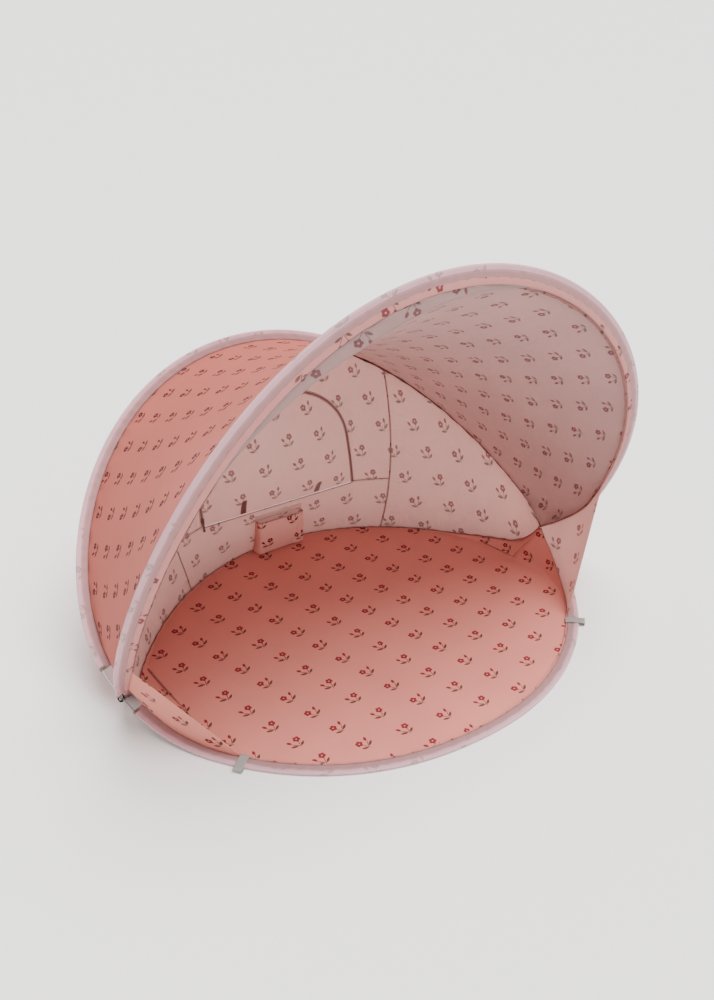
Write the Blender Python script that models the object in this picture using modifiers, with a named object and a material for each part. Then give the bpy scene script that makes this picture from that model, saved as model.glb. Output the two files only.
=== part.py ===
"""Pop-up beach tent for a small child, standing open.

Two closed hoops of spring wire cross low down at the left and right corners.
Half of each hoop lies on the ground and half of it rises as an arch: the back
hoop makes the front edge of the floor and the back arch, and the canopy hoop
makes the rear edge of the floor and the canopy's front edge. Cloth is sewn
between the four halves: floor, back wall, roof and a small gusset at each side.

+X is the tent's left-to-right, -Y its open front, and +Z is up. The origin is
on the ground under the middle of the tent. All sizes are in metres.
"""

import math

import bmesh
import bpy
import numpy as np
from mathutils import Matrix, Vector

# Fits
TOUCH_GAP = 0.0004          # between pieces that touch
SEAM_GAP = 0.0005           # least distance from a seam line to the edge of a panel
PANEL_CLOTH = 0.0010        # drawn thickness of a panel
LEAST_SINE_SHARE = 0.05     # keeps the gap at a seam from growing without end

# Spring wire and the clips on it
WIRE_DIAMETER = 0.0032
WIRE_PLAY = 0.0009          # wire to the inside of its sleeve
WIRE_END_GAP = 0.0012       # end of a wire half to the fold axis
FERRULE_LENGTH = 0.016
FERRULE_WALL = 0.0005
FERRULE_FIT = 0.0002

# Back hoop: front edge of the floor, then the back arch
BACK_HALF_WIDTH = 0.559
BACK_GROUND_REACH = 0.530
BACK_GROUND_POWERS = (2.16, 1.80)
BACK_ARCH_REACH = 0.591
BACK_ARCH_POWERS = (2.05, 1.75)
BACK_BEND_START = 0.322
BACK_BEND_RADIUS = 0.419
BACK_BEND_ANGLE = 0.400
BACK_RISE_RADIUS = 1.331
BACK_CENTRE_Y = 0.0585

# Canopy hoop: rear edge of the floor, then the canopy's front edge
CANOPY_GROUND_REACH = 0.642
CANOPY_GROUND_POWERS = (1.88, 2.01)
CANOPY_ARCH_REACH = 0.694
CANOPY_ARCH_POWERS = (1.99, 2.09)
CANOPY_BEND_START = 0.291
CANOPY_BEND_RADIUS = 0.093
CANOPY_BEND_ANGLE = 0.940
CANOPY_RISE_RADIUS = 1.466
CANOPY_CENTRE_Y = -0.268

# How far the front half of the tent folds up and back, in radians
FOLD_RANGE = 0.80

# Sleeves that hold the wire, and the corner where four seams meet
SLEEVE_CLOTH = 0.0005
SLEEVE_WIDTH = 0.032
SLEEVE_HEM = 0.0003         # from the sleeve's open edge to the seam line
SLEEVE_MOUTH = 0.0007       # half the opening between the two layers
CORNER_INSET = 0.054
CORNER_LIFT = 0.052
CORNER_RUN = 0.150
FRONT_SLEEVE_TRIM = 0.038   # bare wire from each sleeve end to the crossing
CANOPY_SLEEVE_TRIM = 0.022
ARCH_SLEEVE_TRIM = 0.068
REAR_SLEEVE_TRIM = 0.060

# Floor
FLOOR_CORNER_TRIM = 0.030
FLOOR_RISE_RUN = 0.060
FLAT_SHARE = 0.01           # a rise below this share of the cloth lies flat
NOTCH_ROOM = 0.08           # radians that the corner notch is wider than the fold

# Side gussets
GUSSET_RISE = 0.200         # up the canopy hoop
GUSSET_RUN = 0.280          # along the front edge
GUSSET_START_SHARE = 0.42

# Back wall and roof
HINGE_Y = 0.300             # the window's straight bottom edge
WALL_SEAM_STATION = 28      # the upright seams stand at this station and its mirror image
WALL_END_TRIM = 0.118
ROOF_SAG = 0.060
ROOF_END_TRIM = 0.162

# Window with its flap and zip
WINDOW_HALF_WIDTH = 0.200
WINDOW_BOTTOM = 0.134
WINDOW_SIDE_TOP = 0.250
WINDOW_TOP = 0.385
WINDOW_ARCH_POWER = 2.3
HINGE_GAP = 0.0010
ZIP_WIDTH = 0.008
ZIP_GAP = 0.0006

# Zip slider and pull
SLIDER_LENGTH = 0.013
SLIDER_WIDTH = 0.008
SLIDER_THICKNESS = 0.0022
SLIDER_GAP = 0.0008         # off the zip
SLIDER_START = 0.016        # above the window's bottom edge
SLIDER_TRAVEL = 0.075
SLIDER_NOSE_SHARE = 0.62
BAIL_DIAMETER = 0.0014
BAIL_LENGTH = 0.0085
BAIL_RISE = 0.0036
BAIL_ROOT = 0.0012
PULL_LENGTH = 0.026
PULL_WIDTH = 0.0060
PULL_THICKNESS = 0.0012
PULL_BAR = 0.0010
PULL_BAR_INSET = 0.0016
PULL_EYE_LENGTH = 0.0028
PULL_EYE_WIDTH = 0.0030
PULL_WAIST_SHARE = 0.7

# Flap ties
TIE_X = 0.098
TIE_WIDTH = 0.015
TIE_LENGTH = 0.030
TIE_RISE = 0.004

# Pocket
POCKET_WIDTH = 0.128
POCKET_BOTTOM = 0.0125
POCKET_TOP = 0.110
POCKET_DEPTH = 0.032
POCKET_BOTTOM_DEPTH = 0.020
POCKET_FOOT_SHARE = 0.14
POCKET_SIDE_POWER = 5.0

# Stake loops
LOOP_WIDTH = 0.018
LOOP_CLOTH = 0.0012
LOOP_EYE_LENGTH = 0.020
LOOP_EYE_HEIGHT = 0.0048
LOOP_TAIL = 0.026           # inboard of the wire
LOOP_FOOT = 0.0006          # over the ground
LOOP_NOSE = 0.0012

# Seam bindings
BINDING_HEIGHT = 0.0065
BINDING_CLOTH = 0.0008
BINDING_END_TRIM = 0.160
BINDING_STEP_SHARE = 0.02   # of a panel's span, over which its direction off the seam is taken
BINDING_STOP = 0.012        # from the end of a gusset to the binding

# Corner ties
TIE_CORD_DIAMETER = 0.0024
TIE_HALF_HEIGHT = 0.0086
TIE_SHAPE_POWER = 3.5
TIE_POINTS = 20

# Counts and tolerances
DENSE = 1600
STATIONS = 40
STATION_ROOM = 0.006        # least distance from a station to the end of a piece
PANEL_ROWS = 8
ROOF_ROWS = 12
WINDOW_COLUMNS = 18
WELD = 0.00001

WIRE_RADIUS = WIRE_DIAMETER / 2
SLEEVE_BORE = WIRE_RADIUS + WIRE_PLAY
OCTAGON = 1 / math.cos(math.pi / 8)      # corner to flat of an octagon
GROUND_CLEARANCE = SLEEVE_BORE * OCTAGON + SLEEVE_CLOTH
BACKING_GAP = PANEL_CLOTH + TOUCH_GAP    # middle of one cloth to the middle of one lying on it

# Finishes: linear colour, roughness, metallic
PRINTED_CLOTH = ((0.62, 0.27, 0.22), 0.85, 0.0)
REVERSE_CLOTH = ((0.44, 0.31, 0.30), 0.85, 0.0)
SLEEVE_FINISH = ((0.62, 0.50, 0.52), 0.80, 0.0)
BINDING_FINISH = ((0.15, 0.05, 0.05), 0.80, 0.0)
WEBBING_FINISH = ((0.48, 0.44, 0.42), 0.75, 0.0)
TIE_FINISH = ((0.25, 0.09, 0.09), 0.75, 0.0)
STEEL_FINISH = ((0.55, 0.56, 0.58), 0.35, 1.0)
ZIP_FINISH = ((0.20, 0.08, 0.08), 0.60, 0.0)
CORD_FINISH = ((0.02, 0.02, 0.02), 0.70, 0.0)

TENT = bpy.data.collections.new("beach_tent")
CUTTERS = bpy.data.collections.new("cutters")


def start_scene():
    """Clear the scene and add the tent's collections."""
    for old in list(bpy.data.objects):
        bpy.data.objects.remove(old, do_unlink=True)
    bpy.context.scene.collection.children.link(TENT)
    bpy.context.scene.collection.children.link(CUTTERS)


def make_material(name, finish):
    """A plain finish for one piece."""
    colour, roughness, metallic = finish
    material = bpy.data.materials.new(name)
    material.use_nodes = True
    shader = material.node_tree.nodes["Principled BSDF"]
    shader.inputs["Base Color"].default_value = (*colour, 1.0)
    shader.inputs["Roughness"].default_value = roughness
    shader.inputs["Metallic"].default_value = metallic
    material.diffuse_color = (*colour, 1.0)
    return material


def unit(vectors):
    """Vectors scaled to length one."""
    vectors = np.asarray(vectors, dtype=float)
    return vectors / np.linalg.norm(vectors, axis=-1, keepdims=True)


def fall(distance, run):
    """1 at no distance, easing to 0 at the end of the run."""
    t = np.clip(np.asarray(distance, dtype=float) / run, 0.0, 1.0)
    return (1 - t) ** 2 * (1 + 2 * t)


# Hoops
def side_profile(along, bend, rise_radius):
    """Side view: how far forward and how high each point of a hoop's oval comes."""
    bend_start, bend_radius, bend_angle = bend
    past = along + bend_start
    turn = np.clip(past / bend_radius, 0.0, bend_angle)
    rise = np.clip(past - bend_radius * bend_angle, 0.0, None)
    angle = turn + rise / rise_radius
    forward = np.minimum(along, -bend_start) + bend_radius * np.sin(turn)
    height = bend_radius * (1 - np.cos(turn))
    forward = forward + rise_radius * (np.sin(angle) - np.sin(turn))
    height = height + rise_radius * (np.cos(turn) - np.cos(angle))
    return forward, height, angle


class Hoop:
    """A closed hoop of wire: an oval that lies on the ground and turns up into an arch.

    The oval is drawn flat, across and along, and each point along it is then
    carried round the side profile: ground, bend, and a long rise. The half on
    +X is kept as dense samples, and the other half is its mirror image.
    """

    def __init__(self, half_width, ground, arch, bend, rise_radius, centre_y, facing):
        ground_reach, ground_powers = ground
        arch_reach, arch_powers = arch
        turn = np.linspace(0, math.pi, DENSE)
        on_ground = turn <= math.pi / 2
        across_power = np.where(on_ground, ground_powers[0], arch_powers[0])
        along_power = np.where(on_ground, ground_powers[1], arch_powers[1])
        reach = np.where(on_ground, ground_reach, arch_reach)
        x = half_width * np.abs(np.sin(turn)) ** (2 / across_power)
        along = -np.sign(np.cos(turn)) * reach * np.abs(np.cos(turn)) ** (2 / along_power)
        x[-1] = 0.0
        forward, height, angle = side_profile(along, bend, rise_radius)
        self.points = np.stack([x, centre_y + facing * forward, GROUND_CLEARANCE + height], axis=1)
        rising = np.stack([0 * x, facing * np.cos(angle), np.sin(angle)], axis=1)
        flat = unit(np.stack([np.gradient(x), np.gradient(along)], axis=1))
        self.inboard = flat[:, 0:1] * rising - flat[:, 1:2] * np.array([1.0, 0.0, 0.0])
        steps = np.linalg.norm(np.diff(self.points, axis=0), axis=1)
        self.length = np.concatenate([[0.0], np.cumsum(steps)])

    def at_y(self, y):
        """Half width, height and length along the hoop where its side view passes y."""
        order = np.argsort(self.points[:, 1])
        rows = self.points[order, 1]
        columns = (self.points[order, 0], self.points[order, 2], self.length[order])
        return [np.interp(y, rows, column) for column in columns]

    def read(self, values, part, distance):
        """Dense values at a signed distance from the middle of a half."""
        distance = np.asarray(distance, dtype=float)
        reach = np.abs(distance)
        where = reach if part == "ground" else self.length[-1] - reach
        found = np.stack([np.interp(where, self.length, values[:, k]) for k in range(3)], axis=-1)
        found[..., 0] *= np.where(distance < 0, -1.0, 1.0)
        return found


def canopy_hoop(half_width):
    """The canopy hoop at a given width."""
    return Hoop(half_width, (CANOPY_GROUND_REACH, CANOPY_GROUND_POWERS),
                (CANOPY_ARCH_REACH, CANOPY_ARCH_POWERS),
                (CANOPY_BEND_START, CANOPY_BEND_RADIUS, CANOPY_BEND_ANGLE),
                CANOPY_RISE_RADIUS, CANOPY_CENTRE_Y, facing=-1)


def find_crossing(back, canopy):
    """Place and height where the two hoops cross in side view."""
    y = np.linspace(canopy.points[:, 1].min(), back.points[:, 1].max(), DENSE)
    back_height = back.at_y(y)[1]
    rise = back_height - canopy.at_y(y)[1]
    first = np.flatnonzero((back_height > back.points[0, 2]) & (rise >= 0))[0]
    share = rise[first - 1] / (rise[first - 1] - rise[first])
    cross_y = float(y[first - 1] + share * (y[first] - y[first - 1]))
    return cross_y, float(back.at_y(cross_y)[1])


BACK = Hoop(BACK_HALF_WIDTH, (BACK_GROUND_REACH, BACK_GROUND_POWERS),
            (BACK_ARCH_REACH, BACK_ARCH_POWERS),
            (BACK_BEND_START, BACK_BEND_RADIUS, BACK_BEND_ANGLE),
            BACK_RISE_RADIUS, BACK_CENTRE_Y, facing=1)
TRIAL = canopy_hoop(BACK_HALF_WIDTH)
CROSS_Y, CROSS_Z = find_crossing(BACK, TRIAL)
BACK_CROSS_X = float(BACK.at_y(CROSS_Y)[0])
CANOPY_CROSS_X = BACK_CROSS_X + WIRE_DIAMETER + TOUCH_GAP
CANOPY = canopy_hoop(BACK_HALF_WIDTH * CANOPY_CROSS_X / float(TRIAL.at_y(CROSS_Y)[0]))
CROSS_X = (BACK_CROSS_X + CANOPY_CROSS_X) / 2
FOLD_AXIS = np.array([0.0, CROSS_Y, CROSS_Z])
CORNER = FOLD_AXIS + np.array([CROSS_X - CORNER_INSET, 0.0, CORNER_LIFT])


class Edge:
    """One half of a hoop with its sleeve, and the seam along the sleeve's inner side."""

    def __init__(self, hoop, part, trim):
        self.hoop = hoop
        self.part = part
        cross_length = float(hoop.at_y(CROSS_Y)[2])
        self.reach = cross_length if part == "ground" else float(hoop.length[-1]) - cross_length
        distance = STATION_SHARES * self.reach
        self.wire_line = hoop.read(hoop.points, part, distance)
        near = fall(self.reach - np.abs(distance), CORNER_RUN)[:, None]
        mirror = np.column_stack([np.sign(distance), np.ones(STATIONS), np.ones(STATIONS)])
        inboard = unit(hoop.read(hoop.inboard, part, distance))
        corner_shift = mirror * (CORNER - self.wire(self.reach))
        self.across_line = (1 - near) * SLEEVE_WIDTH * inboard + near * corner_shift
        self.stations = self.run(trim)

    def run(self, trim):
        """The stations that stop short of both corners, and the two ends."""
        end = self.reach - trim
        inside = STATION_SHARES * self.reach
        inside = inside[np.abs(inside) < end - STATION_ROOM]
        return np.concatenate([[-end], inside, [end]])

    def along_line(self, line, distance):
        """A place on a line that runs straight from station to station."""
        where = np.asarray(distance, dtype=float) / self.reach
        return np.stack([np.interp(where, STATION_SHARES, line[:, k]) for k in range(3)], axis=-1)

    def wire(self, distance):
        """Points on the wire."""
        return self.along_line(self.wire_line, distance)

    def across(self, distance):
        """From the wire to the seam; near a corner the seam runs to the shared corner point."""
        return self.along_line(self.across_line, distance)

    def seam(self, distance):
        """Points on the seam."""
        return self.wire(distance) + self.across(distance)

    def start_gap(self, distance, way):
        """How far along its way from the seam a panel starts, to lie beside or over the sleeve."""
        along = unit(np.gradient(self.seam(distance), axis=0))
        way = unit(way)
        square = way - along * (way * along).sum(axis=1, keepdims=True)
        length = np.linalg.norm(square, axis=1)
        inboard = self.across(distance)
        inboard = unit(inboard - along * (inboard * along).sum(axis=1, keepdims=True))
        cosine = (square * inboard).sum(axis=1) / length
        sine = np.sqrt(np.clip(1 - cosine**2, 0, None))
        half = PANEL_CLOTH / 2
        beside = (half * sine + TOUCH_GAP - SLEEVE_HEM) / np.maximum(cosine, LEAST_SINE_SHARE)
        lift = SLEEVE_MOUTH + SLEEVE_CLOTH + TOUCH_GAP + half * np.abs(cosine)
        over = lift / np.maximum(sine, LEAST_SINE_SHARE)
        return np.maximum(np.minimum(beside, over), SEAM_GAP) / length

    def straight_spot(self, distance):
        """Middle of the straight stretch nearest a distance: place, line and inboard direction."""
        middles = (STATION_SHARES[1:] + STATION_SHARES[:-1]) / 2 * self.reach
        pick = int(np.argmin(np.abs(middles - distance)))
        ends = self.wire_line[pick:pick + 2]
        along = unit(ends[1] - ends[0])
        inboard = self.across_line[pick:pick + 2].mean(axis=0)
        inboard = unit(inboard - along * np.dot(inboard, along))
        return ends.mean(axis=0), along, inboard


STATION_SHARES = np.linspace(-1, 1, STATIONS)
FRONT = Edge(BACK, "ground", FRONT_SLEEVE_TRIM)
ARCH = Edge(BACK, "arch", ARCH_SLEEVE_TRIM)
VISOR = Edge(CANOPY, "arch", CANOPY_SLEEVE_TRIM)
REAR = Edge(CANOPY, "ground", REAR_SLEEVE_TRIM)


# Building blocks
def joint_empty(name, place, parent=None):
    """An empty on a joint's axis, which carries the pieces of one moving body."""
    empty = bpy.data.objects.new(name, None)
    empty.empty_display_size = SLEEVE_WIDTH
    TENT.objects.link(empty)
    empty["place"] = [float(value) for value in place]
    empty.location = Vector(place)
    if parent is not None:
        empty.parent = parent
        empty.location = Vector(place) - Vector(parent["place"])
    return empty


def add_piece(name, data, finish, empty=None):
    """Link one piece, hung on its joint's empty where it moves."""
    data.materials.append(make_material(name, finish))
    piece = bpy.data.objects.new(name, data)
    TENT.objects.link(piece)
    if empty is not None:
        piece.parent = empty
        piece.matrix_parent_inverse = Matrix.Translation(-Vector(empty["place"]))
    return piece


def loft(name, rows, finish, thickness, offset=0.0, empty=None):
    """A sheet through rows of points, thickened to both sides or to one."""
    rows = np.asarray(rows, dtype=float)
    row_count, column_count = rows.shape[:2]
    quads = []
    for row in range(row_count - 1):
        for column in range(column_count - 1):
            first = row * column_count + column
            quads.append((first, first + 1, first + column_count + 1, first + column_count))
    mesh = bpy.data.meshes.new(name)
    mesh.from_pydata(rows.reshape(-1, 3).tolist(), [], quads)
    mesh.shade_smooth()
    piece = add_piece(name, mesh, finish, empty)
    shell = piece.modifiers.new("cloth", "SOLIDIFY")
    shell.thickness = thickness
    shell.offset = offset
    shell.use_even_offset = True
    return piece


def rod(name, points, radius, finish, empty=None, cyclic=False):
    """A round wire or cord along points."""
    curve = bpy.data.curves.new(name, "CURVE")
    curve.dimensions = "3D"
    curve.bevel_depth = radius
    curve.bevel_resolution = 2
    curve.resolution_u = 1
    curve.use_fill_caps = not cyclic
    spline = curve.splines.new("POLY")
    spline.points.add(len(points) - 1)
    for knot, point in zip(spline.points, points):
        knot.co = (*[float(value) for value in point], 1.0)
    spline.use_cyclic_u = cyclic
    return add_piece(name, curve, finish, empty)


def plate(name, outlines, thickness, finish, frame, empty=None):
    """A flat plate: an outline and any holes, drawn in a frame and thickened about it."""
    curve = bpy.data.curves.new(name, "CURVE")
    curve.dimensions = "2D"
    curve.fill_mode = "BOTH"
    curve.extrude = thickness / 2
    curve.resolution_u = 1
    for outline in outlines:
        spline = curve.splines.new("POLY")
        spline.points.add(len(outline) - 1)
        for knot, point in zip(spline.points, outline):
            knot.co = (float(point[0]), float(point[1]), 0.0, 1.0)
        spline.use_cyclic_u = True
    piece = add_piece(name, curve, finish, empty)
    piece.matrix_basis = frame
    return piece


def frame_at(place, x_axis, y_axis):
    """A frame with its first two axes given."""
    frame = Matrix.Identity(4)
    for column, axis in enumerate((x_axis, y_axis, np.cross(x_axis, y_axis))):
        for row in range(3):
            frame[row][column] = float(axis[row])
    return Matrix.Translation(Vector(place)) @ frame


def as_mesh(piece):
    """A curve piece as a closed mesh where it stands."""
    bpy.context.view_layer.update()
    mesh = bpy.data.meshes.new_from_object(piece.evaluated_get(bpy.context.evaluated_depsgraph_get()))
    mesh.transform(piece.matrix_world)
    bm = bmesh.new()
    bm.from_mesh(mesh)
    bmesh.ops.remove_doubles(bm, verts=bm.verts, dist=WELD)
    bmesh.ops.recalc_face_normals(bm, faces=bm.faces)
    bm.to_mesh(mesh)
    bm.free()
    bpy.data.objects.remove(piece, do_unlink=True)
    return mesh


# Wires, ferrules and sleeves
def build_wire(name, edge, empty=None):
    """One half of a hoop's wire, bare where it comes out of its sleeve."""
    bare = np.linspace(edge.stations[-1], edge.reach - WIRE_END_GAP, 4)[1:]
    distance = np.concatenate([-bare[::-1], edge.stations, bare])
    return rod(name, edge.wire(distance), WIRE_RADIUS, STEEL_FINISH, empty)


def build_ferrule(name, edge):
    """A crimped tube over the joint in the wire, at the middle of a half."""
    place, along, inboard = edge.straight_spot(0.0)
    inner = WIRE_RADIUS * OCTAGON + FERRULE_FIT
    outer = inner + FERRULE_WALL
    half = FERRULE_LENGTH / 2
    profile = [(inner, 0.0, -half), (inner, 0.0, half), (outer, 0.0, half), (outer, 0.0, -half)]
    mesh = bpy.data.meshes.new(name)
    mesh.from_pydata(profile, [(0, 1), (1, 2), (2, 3), (3, 0)], [])
    piece = add_piece(name, mesh, STEEL_FINISH)
    turned = piece.modifiers.new("turned", "SCREW")
    turned.steps = 16
    turned.render_steps = 16
    turned.use_merge_vertices = True
    turned.merge_threshold = WELD
    piece.matrix_basis = frame_at(place, inboard, np.cross(along, inboard))
    return piece


def build_sleeve(name, edge, empty=None):
    """A doubled strip of cloth round the wire, open along the seam."""
    radius = SLEEVE_BORE * OCTAGON
    diagonal = radius * math.sqrt(0.5)
    wire = edge.wire(edge.stations)
    across = edge.across(edge.stations)
    along = unit(np.gradient(wire, axis=0))
    width = np.linalg.norm(across, axis=1, keepdims=True)
    inboard = across / width
    up = unit(np.cross(inboard, along))
    slant = np.abs((inboard * along).sum(axis=1, keepdims=True))
    mouth = width - SLEEVE_HEM / np.sqrt(1 - slant**2)
    section = ((mouth, SLEEVE_MOUTH), (0, radius), (-diagonal, diagonal), (-radius, 0),
               (-diagonal, -diagonal), (0, -radius), (mouth, -SLEEVE_MOUTH))
    rows = [wire + inboard * inward + up * height for inward, height in section]
    return loft(name, rows, SLEEVE_FINISH, SLEEVE_CLOTH, offset=1.0, empty=empty)


# Floor and gussets
def build_floor(name, edge, side, empty=None):
    """Half of the floor, from its seam to the crease between the corners.

    It lies on the ground, rises to the seam round its edge and lifts at both
    corners, where a notch over the fold axis lets the halves fold. The side is
    -1 for the front half and 1 for the rear.
    """
    distance = edge.run(FLOOR_CORNER_TRIM)
    inboard = unit(edge.across(distance))
    seam = edge.seam(distance) + inboard * edge.start_gap(distance, inboard)[:, None]
    seam_height = seam[:, 2] - PANEL_CLOTH / 2
    crease_height = (CORNER[2] - PANEL_CLOTH / 2) * fall(CORNER[0] - np.abs(seam[:, 0]), FLOOR_RISE_RUN)
    over_axis = np.clip(crease_height + PANEL_CLOTH - CROSS_Z, 0.0, None)
    notch = SEAM_GAP / 2 + over_axis * math.tan((FOLD_RANGE + NOTCH_ROOM) / 2)
    crease = np.column_stack([seam[:, 0], CROSS_Y + side * notch])
    way = crease - seam[:, :2]
    span = np.linalg.norm(way, axis=1)
    step = crease_height - seam_height * fall(span, FLOOR_RISE_RUN)
    rows = []
    for share in np.linspace(0, 1, PANEL_ROWS + 1) ** 1.5:
        height = seam_height * fall(span * share, FLOOR_RISE_RUN) + share**2 * step
        height[height < PANEL_CLOTH * FLAT_SHARE] = 0.0
        plan = seam[:, :2] + way * share
        rows.append(np.column_stack([plan, height]))
    return loft(name, rows[::-side], PRINTED_CLOTH, PANEL_CLOTH, offset=1.0, empty=empty)


def build_gusset(name, sign, empty):
    """The taut triangle between the front edge and the foot of the canopy."""
    share = np.linspace(GUSSET_START_SHARE, 1, PANEL_ROWS + 1)
    low_distance = sign * (FRONT.reach - share * GUSSET_RUN)
    high_distance = sign * (VISOR.reach - share * GUSSET_RISE)
    low = FRONT.seam(low_distance)
    high = VISOR.seam(high_distance)
    way = unit(high - low)
    low_gap = FRONT.start_gap(low_distance, way)[:, None]
    high_gap = VISOR.start_gap(high_distance, -way)[:, None]
    low, high = low + way * low_gap, high - way * high_gap
    rows = [low + (high - low) * rise for rise in np.linspace(0, 1, PANEL_ROWS)]
    return loft(name, rows, PRINTED_CLOTH, PANEL_CLOTH, empty=empty)


# Roof and back wall
def roof_point(u, v):
    """A place on the roof: u across, v from the canopy's edge to the back arch."""
    u, v = np.broadcast_arrays(np.asarray(u, dtype=float), np.asarray(v, dtype=float))
    canopy = VISOR.seam(u * VISOR.reach)
    arch = ARCH.seam(u * ARCH.reach)
    point = canopy + (arch - canopy) * v[..., None]
    point[..., 2] -= ROOF_SAG * (1 - u**2) * 4 * v * (1 - v)
    return point


def ruled_wall(u, v):
    """The back wall before its bow: u across, v from the floor seam up to the arch seam."""
    low = REAR.seam(u * REAR.reach)
    high = ARCH.seam(u * ARCH.reach)
    return low + (high - low) * np.asarray(v)[..., None]


def share_at_height(u, z):
    """How far up the wall a height comes."""
    low = REAR.seam(u * REAR.reach)[..., 2]
    high = ARCH.seam(u * ARCH.reach)[..., 2]
    return (z - low) / (high - low)


WALL_SEAM_SHARE = float(STATION_SHARES[WALL_SEAM_STATION])
BOW_SHARES = STATION_SHARES[STATIONS // 2:]


def wall_bows():
    """How far the wall bows in at each place across.

    Across the window its bottom edge comes out straight, and past the window
    the bow dies away to the corner.
    """
    u = BOW_SHARES[BOW_SHARES <= WALL_SEAM_SHARE]
    share = share_at_height(u, WINDOW_BOTTOM)
    place = ruled_wall(u, share)
    bow = (place[:, 1] - HINGE_Y) / (4 * share * (1 - share))
    edge_u = float(u[place[:, 0] >= WINDOW_HALF_WIDTH + ZIP_WIDTH][0])
    edge_bow = float(np.interp(edge_u, u, bow))
    fade = edge_bow * (1 - ((BOW_SHARES - edge_u) / (1 - edge_u)) ** 2)
    return np.where(BOW_SHARES <= edge_u, np.interp(BOW_SHARES, u, bow), fade)


WALL_BOWS = wall_bows()


def wall_point(u, v):
    """A place on the back wall."""
    u, v = np.broadcast_arrays(np.asarray(u, dtype=float), np.asarray(v, dtype=float))
    point = ruled_wall(u, v)
    point[..., 1] -= np.interp(np.abs(u), BOW_SHARES, WALL_BOWS) * 4 * v * (1 - v)
    return point


def start_share(surface, edge, u, near, rows):
    """Share of a surface's span at which it starts, just off the seam at one end of it."""
    first = near + (1 - 2 * near) / rows
    way = surface(u, first) - surface(u, near)
    return edge.start_gap(u * edge.reach, way) / (np.linalg.norm(way, axis=1) * rows)


def between_seams(surface, low_edge, u, rows):
    """Rows of a surface from just off one seam to just off the arch seam."""
    low = start_share(surface, low_edge, u, 0, rows)
    high = 1 - start_share(surface, ARCH, u, 1, rows)
    return [surface(u, low + (high - low) * share) for share in np.linspace(0, 1, rows + 1)]


def build_roof(name):
    """The saddle of cloth from the canopy's edge back to the arch."""
    rows = between_seams(roof_point, VISOR, ARCH.run(ROOF_END_TRIM) / ARCH.reach, ROOF_ROWS)
    return loft(name, rows, PRINTED_CLOTH, PANEL_CLOTH)


def build_wall_side(name, sign):
    """The wall's side piece, from the upright seam to the corner."""
    inner = WALL_SEAM_SHARE + SEAM_GAP / REAR.reach
    beyond = REAR.run(WALL_END_TRIM) / REAR.reach
    beyond = np.concatenate([[inner], beyond[beyond > inner + STATION_ROOM / REAR.reach]])
    rows = between_seams(wall_point, REAR, sign * beyond, PANEL_ROWS)
    return loft(name, rows, REVERSE_CLOTH, PANEL_CLOTH)


def build_wall_band(name):
    """The wall's low middle piece, below the window."""
    u = STATION_SHARES[np.abs(STATION_SHARES) <= WALL_SEAM_SHARE]
    low = start_share(wall_point, REAR, u, 0, PANEL_ROWS)
    high = share_at_height(u, WINDOW_BOTTOM - HINGE_GAP)
    rows = [wall_point(u, low + (high - low) * share) for share in np.linspace(0, 1, PANEL_ROWS // 2 + 1)]
    return loft(name, rows, REVERSE_CLOTH, PANEL_CLOTH)


def wall_shares(x, z):
    """The shares u and v of the wall at a place in front view."""
    x, z = np.broadcast_arrays(np.asarray(x, dtype=float), np.asarray(z, dtype=float))
    low = np.full(x.shape, -1.0)
    high = np.full(x.shape, 1.0)
    for _ in range(40):
        middle = (low + high) / 2
        left = wall_point(middle, share_at_height(middle, z))[..., 0] < x
        low = np.where(left, middle, low)
        high = np.where(left, high, middle)
    return middle, share_at_height(middle, z)


def on_wall(x, z, inward=0.0):
    """The place on the wall at x and z, or a little way in front of it."""
    point = wall_point(*wall_shares(x, z))
    point[..., 1] -= inward
    return point


# Window
def window_sides(offset, count):
    """The window's outline in front view, from its bottom left corner round to its bottom right."""
    half = WINDOW_HALF_WIDTH + offset
    rise = WINDOW_TOP + offset - WINDOW_SIDE_TOP
    side = count // 4
    up = np.linspace(WINDOW_BOTTOM, WINDOW_SIDE_TOP, side, endpoint=False)
    turn = np.linspace(0, math.pi, count - 2 * side)
    x = -half * np.sign(np.cos(turn)) * np.abs(np.cos(turn)) ** (2 / WINDOW_ARCH_POWER)
    z = WINDOW_SIDE_TOP + rise * np.abs(np.sin(turn)) ** (2 / WINDOW_ARCH_POWER)
    x = np.concatenate([np.full(side, -half), x, np.full(side, half)])
    return x, np.concatenate([up, z, up[::-1]])


def build_surround(name):
    """The wall round the window, between the two upright seams and the arch."""
    count = 2 * WINDOW_COLUMNS
    side = count // 4
    inner_u, inner_v = wall_shares(*window_sides(ZIP_WIDTH / 2 + ZIP_GAP, count))
    seam_u = WALL_SEAM_SHARE
    top_u = np.linspace(-seam_u, seam_u, count - 2 * side)
    top_v = 1 - start_share(wall_point, ARCH, top_u, 1, PANEL_ROWS)
    foot_v = float(share_at_height(np.array(seam_u), WINDOW_BOTTOM))
    side_v = np.linspace(foot_v, float(top_v[0]), side, endpoint=False)
    outer_u = np.concatenate([np.full(side, -seam_u), top_u, np.full(side, seam_u)])
    outer_v = np.concatenate([side_v, top_v, side_v[::-1]])
    rows = []
    for share in np.linspace(0, 1, PANEL_ROWS // 2 + 1):
        rows.append(wall_point(inner_u + (outer_u - inner_u) * share, inner_v + (outer_v - inner_v) * share))
    return loft(name, rows, REVERSE_CLOTH, PANEL_CLOTH)


def build_zip(name):
    """The zip's tape and teeth round the window."""
    rows = [on_wall(*window_sides(offset, 2 * WINDOW_COLUMNS)) for offset in (-ZIP_WIDTH / 2, ZIP_WIDTH / 2)]
    return loft(name, rows, ZIP_FINISH, PANEL_CLOTH)


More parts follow.
